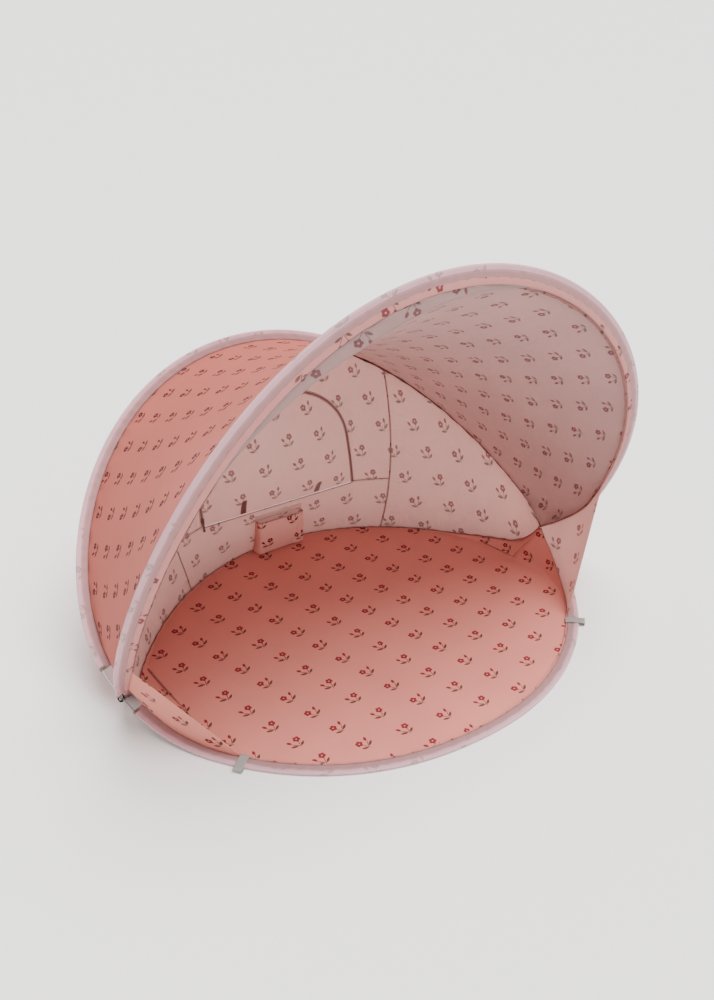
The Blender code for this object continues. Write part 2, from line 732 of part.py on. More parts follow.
def build_flap(name, empty):
    """The window's flap, joined to the wall along its straight bottom edge."""
    offset = -ZIP_WIDTH / 2 - ZIP_GAP
    half = WINDOW_HALF_WIDTH + offset
    rise = WINDOW_TOP + offset - WINDOW_SIDE_TOP
    turn = np.linspace(-math.pi / 2, math.pi / 2, WINDOW_COLUMNS + 1)
    x = half * np.sign(np.sin(turn)) * np.abs(np.sin(turn)) ** (2 / WINDOW_ARCH_POWER)
    top = WINDOW_SIDE_TOP + rise * np.abs(np.cos(turn)) ** (2 / WINDOW_ARCH_POWER)
    rows = [on_wall(x, WINDOW_BOTTOM + (top - WINDOW_BOTTOM) * share) for share in np.linspace(0, 1, ROOF_ROWS)]
    return loft(name, rows, REVERSE_CLOTH, PANEL_CLOTH, empty=empty)


def build_tie(name, sign, empty):
    """A short strip that holds the rolled flap, standing against it at the hinge."""
    x = sign * TIE_X + np.linspace(-TIE_WIDTH / 2, TIE_WIDTH / 2, 3)
    low = WINDOW_BOTTOM + TIE_RISE
    rows = [on_wall(x, z, BACKING_GAP) for z in np.linspace(low, low + TIE_LENGTH, 5)]
    return loft(name, rows, TIE_FINISH, PANEL_CLOTH, empty=empty)


def build_pocket(name):
    """A deep pocket on the wall's low middle piece, open at the top."""
    across = np.sin(np.linspace(-math.pi / 2, math.pi / 2, 13))
    side = 1 - np.abs(across) ** POCKET_SIDE_POWER
    up = np.concatenate([POCKET_FOOT_SHARE * np.sin(np.linspace(0, math.pi / 2, 5)) ** 2,
                         np.linspace(POCKET_FOOT_SHARE, 1, 5)[1:]])
    rows = []
    for share in up:
        foot = 1 - min(share / POCKET_FOOT_SHARE, 1.0)
        depth = POCKET_BOTTOM_DEPTH + (POCKET_DEPTH - POCKET_BOTTOM_DEPTH) * share
        depth *= math.sqrt(1 - foot**2)
        z = POCKET_BOTTOM + (POCKET_TOP - POCKET_BOTTOM) * share
        rows.append(on_wall(across * POCKET_WIDTH / 2, z, BACKING_GAP + depth * side))
    return loft(name, rows, PRINTED_CLOTH, PANEL_CLOTH)


# Zip slider and pull
def circle_through(first, second, third):
    """Centre of the circle through three points of a side view."""
    rows = np.array([second - first, third - first])
    sums = np.array([np.dot(second, second) - np.dot(first, first),
                     np.dot(third, third) - np.dot(first, first)]) / 2
    return np.linalg.solve(rows, sums)


TRACK_HEIGHTS = WINDOW_BOTTOM + SLIDER_START + np.array([0.0, SLIDER_TRAVEL / 2, SLIDER_TRAVEL])
TRACK = on_wall(np.full(3, -WINDOW_HALF_WIDTH), TRACK_HEIGHTS)
TRACK_CENTRE = np.array([-WINDOW_HALF_WIDTH, *circle_through(*TRACK[:, 1:])])
ACROSS = np.array([1.0, 0.0, 0.0])
INWARD = unit(TRACK[0] - TRACK_CENTRE)
UPWARD = np.cross(INWARD, ACROSS)
SLIDER_MIDDLE = TRACK[0] + INWARD * (PANEL_CLOTH / 2 + SLIDER_GAP + SLIDER_THICKNESS / 2)
PULL_PIVOT = (SLIDER_MIDDLE - UPWARD * PULL_BAR_INSET
              + INWARD * (SLIDER_THICKNESS / 2 + BAIL_RISE / 2))


def build_slider(name, empty):
    """The zip's slider: a tapered body on the zip, with a bail joined to it."""
    half = SLIDER_LENGTH / 2
    wide = SLIDER_WIDTH / 2
    nose = wide * SLIDER_NOSE_SHARE
    shoulder = half * SLIDER_NOSE_SHARE
    outline = [(-nose, -half), (nose, -half), (wide, -shoulder), (wide, shoulder),
               (nose, half), (-nose, half), (-wide, shoulder), (-wide, -shoulder)]
    flat = plate(name + "_flat", [outline], SLIDER_THICKNESS, STEEL_FINISH,
                 frame_at(SLIDER_MIDDLE, ACROSS, UPWARD))
    top = SLIDER_THICKNESS / 2
    path = []
    for angle in np.linspace(0, math.pi, 9):
        rise = (BAIL_RISE + BAIL_DIAMETER / 2) * math.sin(angle)
        path.append((-BAIL_LENGTH / 2 * math.cos(angle), top + rise))
    path = [(path[0][0], top - BAIL_ROOT)] + path + [(path[-1][0], top - BAIL_ROOT)]
    points = [SLIDER_MIDDLE + UPWARD * along + INWARD * rise for along, rise in path]
    bail = rod(name + "_wire", points, BAIL_DIAMETER / 2, STEEL_FINISH)
    cutter = bpy.data.objects.new(name + "_bail", as_mesh(bail))
    CUTTERS.objects.link(cutter)
    cutter.hide_render = True
    cutter.display_type = "WIRE"
    body = as_mesh(flat)
    body.materials.clear()
    piece = add_piece(name, body, STEEL_FINISH, empty)
    joined = piece.modifiers.new("bail", "BOOLEAN")
    joined.operation = "UNION"
    joined.object = cutter
    return piece


def build_pull(name, empty):
    """The pull tab, whose eye goes round the slider's bail."""
    half = PULL_WIDTH / 2
    eye = PULL_EYE_WIDTH / 2
    top = PULL_BAR / 2
    corner = PULL_BAR / 2
    waist = half * PULL_WAIST_SHARE
    eye_end = -top - PULL_EYE_LENGTH
    outer = [(half - corner, top), (corner - half, top), (-half, top - corner), (-half, eye_end),
             (-waist, eye_end - half), (-half, top + corner - PULL_LENGTH), (corner - half, top - PULL_LENGTH),
             (half - corner, top - PULL_LENGTH), (half, top + corner - PULL_LENGTH), (waist, eye_end - half),
             (half, eye_end), (half, top - corner)]
    hole = [(-eye, -top), (eye, -top), (eye, eye_end), (-eye, eye_end)]
    return plate(name, [outer, hole], PULL_THICKNESS, STEEL_FINISH,
                 frame_at(PULL_PIVOT, ACROSS, UPWARD), empty)


# Stake loops, bindings and corner ties
def loop_spot(sign):
    """Place, outward direction and line of a stake loop, at the foot of a gusset."""
    place, along, inboard = FRONT.straight_spot(sign * (FRONT.reach - GUSSET_RUN))
    return place, -inboard, along


def sleeve_top(inward):
    """Height of the sleeve's upper face over the wire's middle, a way inboard of it."""
    ridge = (SLEEVE_BORE + SLEEVE_CLOTH) * OCTAGON
    mouth = SLEEVE_MOUTH + SLEEVE_CLOTH
    return ridge + (mouth - ridge) * inward / (SLEEVE_WIDTH - SLEEVE_HEM)


def loop_pivot(sign):
    """A place on a stake loop's hinge line, at its sewn end."""
    place, outward, _ = loop_spot(sign)
    return place - outward * LOOP_TAIL + np.array([0.0, 0.0, sleeve_top(LOOP_TAIL) + TOUCH_GAP + LOOP_CLOTH / 2])


def build_loop(name, sign, empty):
    """A folded strip of webbing over the sleeve, with an eye for a peg beyond it."""
    place, outward, along = loop_spot(sign)
    tail = sleeve_top(LOOP_TAIL) + TOUCH_GAP
    clear = sleeve_top(0.0) + TOUCH_GAP
    slant = clear * math.sqrt(0.5)
    foot = LOOP_FOOT - place[2]
    eye_start = clear + LOOP_CLOTH
    eye_end = eye_start + LOOP_EYE_LENGTH
    end = eye_end + LOOP_CLOTH
    eye_foot = foot + LOOP_CLOTH
    eye_top = eye_foot + LOOP_EYE_HEIGHT
    top = eye_top + LOOP_CLOTH
    outer = [(-LOOP_TAIL, tail), (0.0, clear), (slant, slant), (clear, 0.0), (clear, foot),
             (end - LOOP_NOSE, foot), (end, foot + LOOP_NOSE), (end, top - LOOP_NOSE), (end - LOOP_NOSE, top),
             (eye_start, top), (0.0, clear + LOOP_CLOTH), (-LOOP_TAIL, tail + LOOP_CLOTH)]
    eye = [(eye_start, eye_foot), (eye_end, eye_foot), (eye_end, eye_top), (eye_start, eye_top)]
    up = np.array([0.0, 0.0, 1.0])
    return plate(name, [outer, eye], LOOP_WIDTH, WEBBING_FINISH, frame_at(place, outward, up), empty)


def build_binding(name, edge, distance, first, second, empty=None):
    """A narrow bound seam allowance that stands off a seam, halfway between two cloths."""
    seam = edge.seam(distance)
    middle = unit(first + second)
    half_angle_sine = np.linalg.norm(np.cross(middle, first), axis=1)
    stand = (BINDING_CLOTH / 2 + PANEL_CLOTH / 2 + TOUCH_GAP) / half_angle_sine
    rows = [seam + middle * stand[:, None], seam + middle * (stand + BINDING_HEIGHT)[:, None]]
    return loft(name, rows, BINDING_FINISH, BINDING_CLOTH, empty=empty)


def leaving(surface, u, near, step):
    """Directions in which a surface leaves its seam."""
    return unit(surface(u, near + step) - surface(u, near))


def build_bindings(front_half):
    """The bindings of the four long seams."""
    step = BINDING_STEP_SHARE
    up = np.array([[0.0, 0.0, 1.0]])
    distance = FRONT.run(GUSSET_RUN + BINDING_STOP)
    build_binding("front_floor_binding", FRONT, distance, unit(FRONT.across(distance)), up, front_half)
    distance = VISOR.run(GUSSET_RISE + BINDING_STOP)
    roof = leaving(roof_point, distance / VISOR.reach, 0.0, step)
    build_binding("canopy_binding", VISOR, distance, roof, unit(VISOR.across(distance)), front_half)
    distance = ARCH.run(BINDING_END_TRIM)
    u = distance / ARCH.reach
    wall = leaving(wall_point, u, 1.0, -step)
    build_binding("rear_arch_binding", ARCH, distance, wall, leaving(roof_point, u, 1.0, -step))
    distance = REAR.run(BINDING_END_TRIM)
    wall = leaving(wall_point, distance / REAR.reach, 0.0, step)
    build_binding("rear_floor_binding", REAR, distance, wall, unit(REAR.across(distance)))


def corner_angle(edge):
    """Angle in side view at which a wire leaves the corner."""
    way = edge.wire(edge.reach - SLEEVE_WIDTH) - edge.wire(edge.reach)
    return math.atan2(way[2], way[1])


def rounded(value, power):
    """A sine or cosine carried from a circle to a squarer oval."""
    return np.sign(value) * np.abs(value) ** (2 / power)


def build_corner_tie(name, sign):
    """A cord ring round the crossing wires, tilted midway between the arch and the folded canopy."""
    tilt = (corner_angle(VISOR) - FOLD_RANGE + corner_angle(ARCH)) / 2
    upright = np.array([0.0, math.cos(tilt), math.sin(tilt)])
    cord = TIE_CORD_DIAMETER / 2 * OCTAGON
    half_width = (CANOPY_CROSS_X - BACK_CROSS_X) / 2 + WIRE_RADIUS * OCTAGON + TOUCH_GAP + cord
    centre = np.array([sign * CROSS_X, CROSS_Y, CROSS_Z])
    points = []
    for turn in np.linspace(0, 2 * math.pi, TIE_POINTS, endpoint=False):
        sideways = half_width * rounded(math.cos(turn), TIE_SHAPE_POWER)
        raised = TIE_HALF_HEIGHT * rounded(math.sin(turn), TIE_SHAPE_POWER)
        points.append(centre + ACROSS * sideways + upright * raised)
    return rod(name, points, TIE_CORD_DIAMETER / 2, CORD_FINISH, cyclic=True)


def main():
    """Build the whole tent."""
    start_scene()
    front_half = joint_empty("front_half_axis", FOLD_AXIS)
    hinge = joint_empty("flap_axis", on_wall(0.0, WINDOW_BOTTOM))
    track = joint_empty("slider_axis", TRACK_CENTRE)
    pull = joint_empty("pull_axis", PULL_PIVOT, track)

    build_wire("front_floor_wire", FRONT, front_half)
    build_wire("canopy_wire", VISOR, front_half)
    build_wire("rear_arch_wire", ARCH)
    build_wire("rear_floor_wire", REAR)
    build_ferrule("rear_arch_ferrule", ARCH)
    build_ferrule("rear_floor_ferrule", REAR)
    build_sleeve("front_floor_sleeve", FRONT, front_half)
    build_sleeve("canopy_sleeve", VISOR, front_half)
    build_sleeve("rear_arch_sleeve", ARCH)
    build_sleeve("rear_floor_sleeve", REAR)

    build_floor("floor_front", FRONT, -1, front_half)
    build_floor("floor_rear", REAR, 1)
    build_roof("roof_panel")
    build_surround("wall_window_surround")
    build_wall_band("wall_low_band")
    build_zip("window_zip")
    build_flap("window_flap", hinge)
    build_pocket("wall_pocket")
    build_slider("zip_slider", track)
    build_pull("zip_pull", pull)
    build_bindings(front_half)
    for side, sign in (("left", -1), ("right", 1)):
        build_wall_side("wall_" + side, sign)
        build_gusset("gusset_" + side, sign, front_half)
        build_corner_tie("corner_tie_" + side, sign)
        tie_pivot = on_wall(sign * TIE_X, WINDOW_BOTTOM + TIE_RISE, BACKING_GAP)
        tie = joint_empty("flap_tie_axis_" + side, tie_pivot, hinge)
        build_tie("flap_tie_" + side, sign, tie)
        loop = joint_empty("stake_loop_axis_" + side, loop_pivot(sign), front_half)
        build_loop("stake_loop_" + side, sign, loop)

    for empty in TENT.objects:
        if empty.type == "EMPTY":
            print("joint", empty.name, [round(value, 5) for value in empty["place"]])
    print("loop line", np.round(loop_spot(1)[2], 5), np.round(loop_spot(-1)[2], 5))


main()
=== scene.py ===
# %% [markdown]
# # A pop-up beach tent
#
# Two closed hoops of spring wire cross low down at the left and right corners.
# Half of each hoop lies on the ground and half of it stands as an arch, and
# thin polyester is sewn between the four halves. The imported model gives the
# sizes and the moving bodies. This lesson dresses it: every panel becomes a
# thin curved sheet with a print side and a pale reverse side.

# %% The frame
import math

import bmesh
import bpy
import numpy as np
from mathutils import Matrix, Vector


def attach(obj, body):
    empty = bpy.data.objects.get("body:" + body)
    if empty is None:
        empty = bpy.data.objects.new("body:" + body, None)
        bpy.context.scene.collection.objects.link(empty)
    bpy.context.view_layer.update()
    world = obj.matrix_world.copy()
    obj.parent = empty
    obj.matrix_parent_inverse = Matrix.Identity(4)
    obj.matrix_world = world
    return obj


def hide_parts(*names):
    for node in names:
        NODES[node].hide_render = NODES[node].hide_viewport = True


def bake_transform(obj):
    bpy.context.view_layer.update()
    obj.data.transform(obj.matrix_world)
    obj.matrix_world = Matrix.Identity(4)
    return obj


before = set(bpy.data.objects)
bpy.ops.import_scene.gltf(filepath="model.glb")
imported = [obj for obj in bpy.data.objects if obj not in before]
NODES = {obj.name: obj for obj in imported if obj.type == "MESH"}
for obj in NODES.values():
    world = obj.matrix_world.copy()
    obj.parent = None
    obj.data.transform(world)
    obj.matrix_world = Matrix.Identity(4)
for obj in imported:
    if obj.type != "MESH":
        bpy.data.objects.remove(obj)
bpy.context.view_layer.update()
REAR_BODY, FRONT_BODY = "rear_half", "front_half"
SIDES = (("left", -1), ("right", 1))

# %% [markdown]
# ## The two hoops
#
# A hoop is a flat oval that has been bent: the oval lies on the ground, turns
# up through a bend and then rises in a long gentle arc. So each point of the
# oval is carried round one side profile. Writing the oval as a formula, and
# not tracing points, keeps every seam smooth at any resolution.

# %% Hoops
WIRE_DIAMETER = 0.0032
SLEEVE_BORE = 0.0025
SLEEVE_WIDTH = 0.032
GROUND_CLEARANCE = 0.003206
DENSE = 2400


def eased(distance, run):
    """1 at no distance, easing to 0 at the end of the run."""
    t = clipped(np.asarray(distance, dtype=float) / run)
    return (1 - t) ** 2 * (1 + 2 * t)


def unit(vectors):
    """Vectors scaled to length one."""
    vectors = np.asarray(vectors, dtype=float)
    return vectors / np.maximum(np.linalg.norm(vectors, axis=-1, keepdims=True), 1e-12)


def clipped(values):
    """Values held between 0 and 1."""
    return np.clip(values, 0, 1)


def powered(wave, power):
    """A wave's size raised to a power, with its sign kept: how a superellipse squares off a circle."""
    return np.sign(wave) * np.abs(wave) ** power


def running_length(points):
    """How far along a line each of its points is."""
    return np.concatenate([[0.0], np.cumsum(np.linalg.norm(np.diff(points, axis=0), axis=1))])


def read_along(where, known, values):
    """Rows of values at places between the known ones."""
    return np.stack([np.interp(where, known, column) for column in values.T], axis=-1)


def hoop(half_width, ground, arch, bend, rise_radius, centre_y, facing):
    """Points, inboard directions and running length of half a hoop, from the ground to the top."""
    turn = np.linspace(0, math.pi, DENSE)
    on_ground = turn <= math.pi / 2
    reach, across_power, along_power = (np.where(on_ground, g, a) for g, a in zip(ground, arch))
    x = half_width * np.abs(np.sin(turn)) ** (2 / across_power)
    along = -reach * powered(np.cos(turn), 2 / along_power)
    x[-1] = 0.0
    bend_start, bend_radius, bend_angle = bend
    past = along + bend_start
    bent = np.clip(past / bend_radius, 0.0, bend_angle)
    angle = bent + np.clip(past - bend_radius * bend_angle, 0.0, None) / rise_radius
    forward = np.minimum(along, -bend_start) + bend_radius * np.sin(bent)
    forward = forward + rise_radius * (np.sin(angle) - np.sin(bent))
    height = bend_radius * (1 - np.cos(bent)) + rise_radius * (np.cos(bent) - np.cos(angle))
    points = np.stack([x, centre_y + facing * forward, GROUND_CLEARANCE + height], axis=1)
    rising = np.stack([0 * x, facing * np.cos(angle), np.sin(angle)], axis=1)
    flat = unit(np.stack([np.gradient(x), np.gradient(along)], axis=1))
    inboard = flat[:, 0:1] * rising - flat[:, 1:2] * np.array([1.0, 0.0, 0.0])
    return {"points": points, "inboard": inboard, "length": running_length(points)}


BACK = hoop(0.559, (0.530, 2.16, 1.80), (0.591, 2.05, 1.75), (0.322, 0.419, 0.400), 1.331, 0.0585, 1)
CANOPY = hoop(0.573195, (0.642, 1.88, 2.01), (0.694, 1.99, 2.09), (0.291, 0.093, 0.940), 1.466, -0.268, -1)
CROSS = np.array([0.544922, -0.060997, 0.053667])
RIGHT_CORNER = np.array([0.4985, -0.0580, 0.0920])
LEFT_CORNER = np.array([-0.5260, -0.0610, 0.0640])     # the cloth is drawn tighter at this corner
CORNER_RUN, CORNER_POWER = 0.170, 1.45      # the last stretch of each seam, nearly straight to its corner


class Seam:
    """One half of a hoop: its wire, and the seam along the inner side of its sleeve."""

    def __init__(self, whole, part, width=SLEEVE_WIDTH, lean=0.0, run=CORNER_RUN):
        self.whole, self.part, self.width, self.lean, self.run = whole, part, width, lean, run
        points = whole["points"]
        order = np.argsort(points[:, 1])
        cross = float(np.interp(CROSS[1], points[order, 1], whole["length"][order]))
        self.reach = cross if part == "ground" else float(whole["length"][-1]) - cross

    def read(self, values, distance):
        reach = np.abs(distance)
        where = reach if self.part == "ground" else self.whole["length"][-1] - reach
        found = read_along(where, self.whole["length"], values)
        found[..., 0] *= np.where(distance < 0, -1.0, 1.0)
        return found

    def wire(self, distance):
        """Points on the wire, by signed distance from the middle of the half."""
        return self.read(self.whole["points"], np.asarray(distance, dtype=float))

    def ahead(self, distance, step):
        """The wire's direction, from points one step either way."""
        return unit(self.wire(distance + step) - self.wire(distance - step))

    def across(self, distance):
        """From the wire to the seam. Near a corner the four seams run to one shared point."""
        distance = np.asarray(distance, dtype=float)
        gap = clipped((self.reach - np.abs(distance)) / self.run)
        near = (1 - gap[..., None]) ** CORNER_POWER
        inboard = unit(self.read(self.whole["inboard"], distance))
        along = self.ahead(distance, 0.001)
        strip = math.cos(self.lean) * inboard + math.sin(self.lean) * np.cross(along, inboard)
        shift = np.where(distance[..., None] < 0, LEFT_CORNER - self.wire(np.array(-self.reach)),
                         RIGHT_CORNER - self.wire(np.array(self.reach)))
        return (1 - near) * self.width * strip + near * shift

    def line(self, distance):
        """Points on the seam."""
        return self.wire(distance) + self.across(distance)


CANOPY_LEAN = math.radians(-15)     # the canopy's sleeve hangs a little forward of its hoop's own plane
NARROW_SLEEVE, CANOPY_SLEEVE = 0.021, 0.030
REAR_RUN = 0.30                     # the rear seam turns up over a longer stretch
FRONT, ARCH = Seam(BACK, "ground", NARROW_SLEEVE), Seam(BACK, "arch", NARROW_SLEEVE)
VISOR, REAR = Seam(CANOPY, "arch", CANOPY_SLEEVE, CANOPY_LEAN), Seam(CANOPY, "ground", run=REAR_RUN)
print("half lengths in m", [round(2 * seam.reach, 3) for seam in (FRONT, ARCH, VISOR, REAR)])

# %% [markdown]
# ## The print and the cloth
#
# The real tent is woven polyester, printed on one side in dark red and olive
# brown on salmon. The ink hardly comes through, so the reverse side is a
# greyed pink with a faded motif. Here the motif is a small sprig of blossom on
# a half-drop repeat, drawn by a node group in millimetres from the panel's own
# flat pattern, so that it follows the cloth. The print side and the reverse
# side are two materials, which the Solidify modifier puts on the two faces.

# %% Colours and nodes
def linear(hex_value):
    """An sRGB hex colour as linear light with alpha."""
    parts = [int(hex_value[k:k + 2], 16) / 255 for k in (1, 3, 5)]
    return (*[p / 12.92 if p <= 0.04045 else ((p + 0.055) / 1.055) ** 2.4 for p in parts], 1.0)


def add(tree, kind, *inputs, out=0, **settings):
    """Add a node, set it, link or fill its inputs in order, and give back one output."""
    node = tree.nodes.new("ShaderNode" + kind)
    for key, value in settings.items():
        setattr(node, key, value)
    for socket, value in zip(node.inputs, inputs):
        if isinstance(value, bpy.types.NodeSocket):
            tree.links.new(value, socket)
        elif value is not None:
            socket.default_value = value
    return node.outputs[out]


# %% The printed sprig
REPEAT_MM = (82.0, 66.0, 1.0)      # one sprig to a cell, half dropped from column to column
PRINT_TILT = math.radians(-17)     # of the repeat against the cloth's thread
PETAL_REACH_MM, PETAL_MM, EYE_MM = 4.4, 3.3, 1.7
BLOSSOM_MM = (-7.5, 7.0, 0.0)      # where the blossom sits from the middle of its cell
BUD = ((10.5, 8.5), 62, 5.6, 3.0)  # place in mm, turn in degrees, half length and half width in mm
LEAVES = [((9.5, -6.0), 28, 8.0, 2.7), ((-7.5, -9.0), 152, 7.2, 2.5),
          ((-2.4, -6.5), 118, 11.0, 0.75), ((5.4, -3.5), 55, 12.5, 0.7)]      # two leaves and two stems


def leaf(tree, vector, place, turn, half_length, half_width):
    """A pointed leaf: where two circles overlap."""
    radius = (half_length**2 + half_width**2) / (2 * half_width)
    local = add(tree, "Mapping", vector, (*place, 0.0), (0.0, 0.0, math.radians(turn)), vector_type="TEXTURE")
    folded = add(tree, "VectorMath", local, operation="ABSOLUTE")
    offset = add(tree, "VectorMath", folded, (0.0, radius - half_width, 0.0), operation="ADD")
    reach = add(tree, "VectorMath", offset, operation="LENGTH", out=1)
    return add(tree, "Math", reach, radius, operation="LESS_THAN")


def sprig_group():
    """Two masks of the printed sprig: its red parts, and its leaves and stems."""
    tree = bpy.data.node_groups.new("printed sprig", "ShaderNodeTree")
    tree.interface.new_socket("Vector", in_out="INPUT", socket_type="NodeSocketVector")
    tree.interface.new_socket("Red", in_out="OUTPUT", socket_type="NodeSocketFloat")
    tree.interface.new_socket("Leaf", in_out="OUTPUT", socket_type="NodeSocketFloat")
    start = tree.nodes.new("NodeGroupInput")
    end = tree.nodes.new("NodeGroupOutput")
    tilted = add(tree, "VectorRotate", start.outputs[0], None, None, PRINT_TILT, rotation_type="Z_AXIS")
    cells = add(tree, "VectorMath", tilted, tuple(1 / size for size in REPEAT_MM), operation="MULTIPLY")
    column = add(tree, "Math", add(tree, "SeparateXYZ", cells), operation="FLOOR")
    odd = add(tree, "Math", column, 2.0, operation="FLOORED_MODULO")
    drop = add(tree, "Math", odd, 0.5, operation="MULTIPLY")
    dropped = add(tree, "VectorMath", cells, add(tree, "CombineXYZ", 0.0, drop, 0.0), operation="ADD")
    within = add(tree, "VectorMath", dropped, operation="FRACTION")
    centred = add(tree, "VectorMath", within, (0.5, 0.5, 0.0), operation="SUBTRACT")
    local = add(tree, "VectorMath", centred, REPEAT_MM, operation="MULTIPLY")
    mirror = add(tree, "Math", odd, -2.0, 1.0, operation="MULTIPLY_ADD")
    sprig = add(tree, "VectorMath", local, add(tree, "CombineXYZ", mirror, 1.0, 1.0), operation="MULTIPLY")

    about = add(tree, "VectorMath", sprig, tuple(-value for value in BLOSSOM_MM), operation="ADD")
    around = add(tree, "SeparateXYZ", about)
    angle = add(tree, "Math", around.node.outputs[1], around, operation="ARCTAN2")
    folded = add(tree, "Math", angle, math.pi / 5, operation="PINGPONG")
    reach = add(tree, "VectorMath", about, operation="LENGTH", out=1)
    petal_x = add(tree, "Math", reach, add(tree, "Math", folded, operation="COSINE"), operation="MULTIPLY")
    petal_y = add(tree, "Math", reach, add(tree, "Math", folded, operation="SINE"), operation="MULTIPLY")
    folded_place = add(tree, "CombineXYZ", petal_x, petal_y, 0.0)
    off_petal = add(tree, "VectorMath", folded_place, (PETAL_REACH_MM, 0.0, 0.0), operation="DISTANCE", out=1)
    petal = add(tree, "Math", off_petal, PETAL_MM, operation="LESS_THAN")
    eye = add(tree, "Math", reach, EYE_MM, operation="GREATER_THAN")
    blossom = add(tree, "Math", petal, eye, operation="MULTIPLY")
    bud = leaf(tree, sprig, *BUD)
    red = add(tree, "Math", blossom, bud, operation="MAXIMUM")
    greens = [leaf(tree, sprig, *shape) for shape in LEAVES]
    green = greens[0]
    for mask in greens[1:]:
        green = add(tree, "Math", green, mask, operation="MAXIMUM")
    tree.links.new(red, end.inputs[0])
    tree.links.new(green, end.inputs[1])
    return tree


SPRIG = sprig_group()

# %% Woven cloth
THREAD_MM = 1.3     # real thread is 0.2 mm, too fine to show, so it is drawn coarse
CREPE_MM = 26.0     # soft unevenness of thin cloth under light tension
CHANNEL_MM = 12.0   # from the wire's ridge to the stitches that close its channel
STITCH_HEX, STITCH_MM = "#9C6A68", 0.7
WAVES_PER_MM = 0.314 * 2     # the wave texture's own scale for one thread to a millimetre
THIN_SHARE = 0.45   # of the light goes on into the cloth, which makes it glow from behind
MARK_STRETCH = (1 / 17, 1 / 60, 0.0)    # bits of the print on a narrow tape, as long as a motif is wide
TONE_SPREAD = (0.35, 0.65, 0.965, 1.035)    # slow changes of tone over a panel
CREPE_BUMP, CREPE_DEPTH = 0.28, 0.004


def finish(name):
    """A new material with its tree and its main shader."""
    material = bpy.data.materials.new(name)
    material.use_nodes = True
    return material, material.node_tree, material.node_tree.nodes["Principled BSDF"]


def woven_cloth(name, ground, red=None, green=None, strength=1.0, roughness=0.82, sheen=0.08, weave=0.10,
                inner=None, marks=None, through=THIN_SHARE):
    """Thin polyester on a panel's flat pattern: plain, printed, in a sleeve's two tones, or a marked tape."""
    material, tree, shader = finish(name)
    flat = add(tree, "UVMap", uv_map="cloth")
    in_mm = add(tree, "VectorMath", flat, (1000.0, 1000.0, 1000.0), operation="MULTIPLY")
    place = add(tree, "TexCoord", out=3)
    cloud = add(tree, "TexNoise", place, None, 5.0, 3.0)
    tone = add(tree, "MapRange", cloud, *TONE_SPREAD)
    colour = add(tree, "VectorMath", linear(ground)[:3], tone, operation="MULTIPLY")
    if red:
        masks = tree.nodes.new("ShaderNodeGroup")
        masks.node_tree = SPRIG
        tree.links.new(in_mm, masks.inputs[0])
        for mask, ink in ((masks.outputs[1], green), (masks.outputs[0], red)):
            amount = add(tree, "Math", mask, strength, operation="MULTIPLY")
            colour = add(tree, "MixRGB", amount, colour, linear(ink))
    if inner:
        across = add(tree, "Math", add(tree, "SeparateXYZ", in_mm).node.outputs[1], operation="ABSOLUTE")
        fold = add(tree, "MapRange", across, CHANNEL_MM - 1.5, CHANNEL_MM + 3.0, 0.0, 1.0)
        colour = add(tree, "MixRGB", fold, colour, linear(inner))
        stitch = add(tree, "Math", across, CHANNEL_MM, STITCH_MM, operation="COMPARE")
        faint = add(tree, "Math", stitch, 0.45, operation="MULTIPLY")
        colour = add(tree, "MixRGB", faint, colour, linear(STITCH_HEX))
    if marks:
        stretched = add(tree, "VectorMath", in_mm, MARK_STRETCH, operation="MULTIPLY")
        blots = add(tree, "MapRange", add(tree, "TexNoise", stretched, None, 1.0, 1.0), 0.60, 0.64, 0.0, 0.85)
        colour = add(tree, "MixRGB", blots, colour, linear(marks))
    tree.links.new(colour, shader.inputs["Base Color"])
    threads = [add(tree, "TexWave", in_mm, WAVES_PER_MM / THREAD_MM, 0.6, 0.0, bands_direction=way)
               for way in ("X", "Y")]
    cross = add(tree, "Math", *[thread.node.outputs[1] for thread in threads], operation="MULTIPLY")
    crepe = add(tree, "TexNoise", in_mm, None, 1 / CREPE_MM, 4.0, 0.55)
    fine = add(tree, "Bump", weave, THREAD_MM / 1000, None, cross)
    soft = add(tree, "Bump", CREPE_BUMP, CREPE_DEPTH, None, crepe, fine)
    tree.links.new(soft, shader.inputs["Normal"])
    shader.inputs["Roughness"].default_value = roughness
    shader.inputs["Sheen Weight"].default_value = sheen
    shader.inputs["Sheen Roughness"].default_value = 0.5
    shader.inputs["Specular IOR Level"].default_value = 0.3
    if through:
        glow = add(tree, "BsdfTranslucent", add(tree, "Gamma", colour, 0.5), soft)
        thin = add(tree, "MixShader", through, shader.outputs[0], glow)
        tree.links.new(thin, next(node for node in tree.nodes if node.type == "OUTPUT_MATERIAL").inputs[0])
    return material


# Dyed polyester with printed ink: matt salmon with crisp red and brown sprigs.
PRINT_SIDE = woven_cloth("woven polyester print side", "#EA9989", "#7A2230", "#5C3A33")
# The same print on the roof, painted a deeper salmon than the walls' print side: painted shade.
SHADED_ROOF_PRINT = woven_cloth("woven polyester roof print side in painted shade", "#D47163", "#4E161E", "#38231F")
# Print side over a waterproof coating: a little smoother, and no light comes through it.
FLOOR_SIDE = woven_cloth("coated polyester floor", "#D17E71", "#7E1C28", "#5A352C", roughness=0.74, through=0.0)
# The back of the print: pale greyed pink, with the sprigs showing faintly through.
REVERSE_SIDE = woven_cloth("woven polyester reverse side", "#EDD1CB", "#8D5F5E", "#7F6A63", 0.75)
# The roof's back, painted darker and greyer than the wall's: painted shade.
SHADED_ROOF_REVERSE = woven_cloth("woven polyester roof reverse in painted shade", "#A89290", "#713F42", "#6A514D", 0.8)
# Sheer cloth with a slight gloss: lilac pink over the wire and browner past the stitches.
SLEEVE_CLOTH = woven_cloth("sheer polyester sleeve", "#EFC2CA", "#A8958E", "#9A9A8A", 0.6, roughness=0.5,
                           weave=0.2, inner="#C59797")
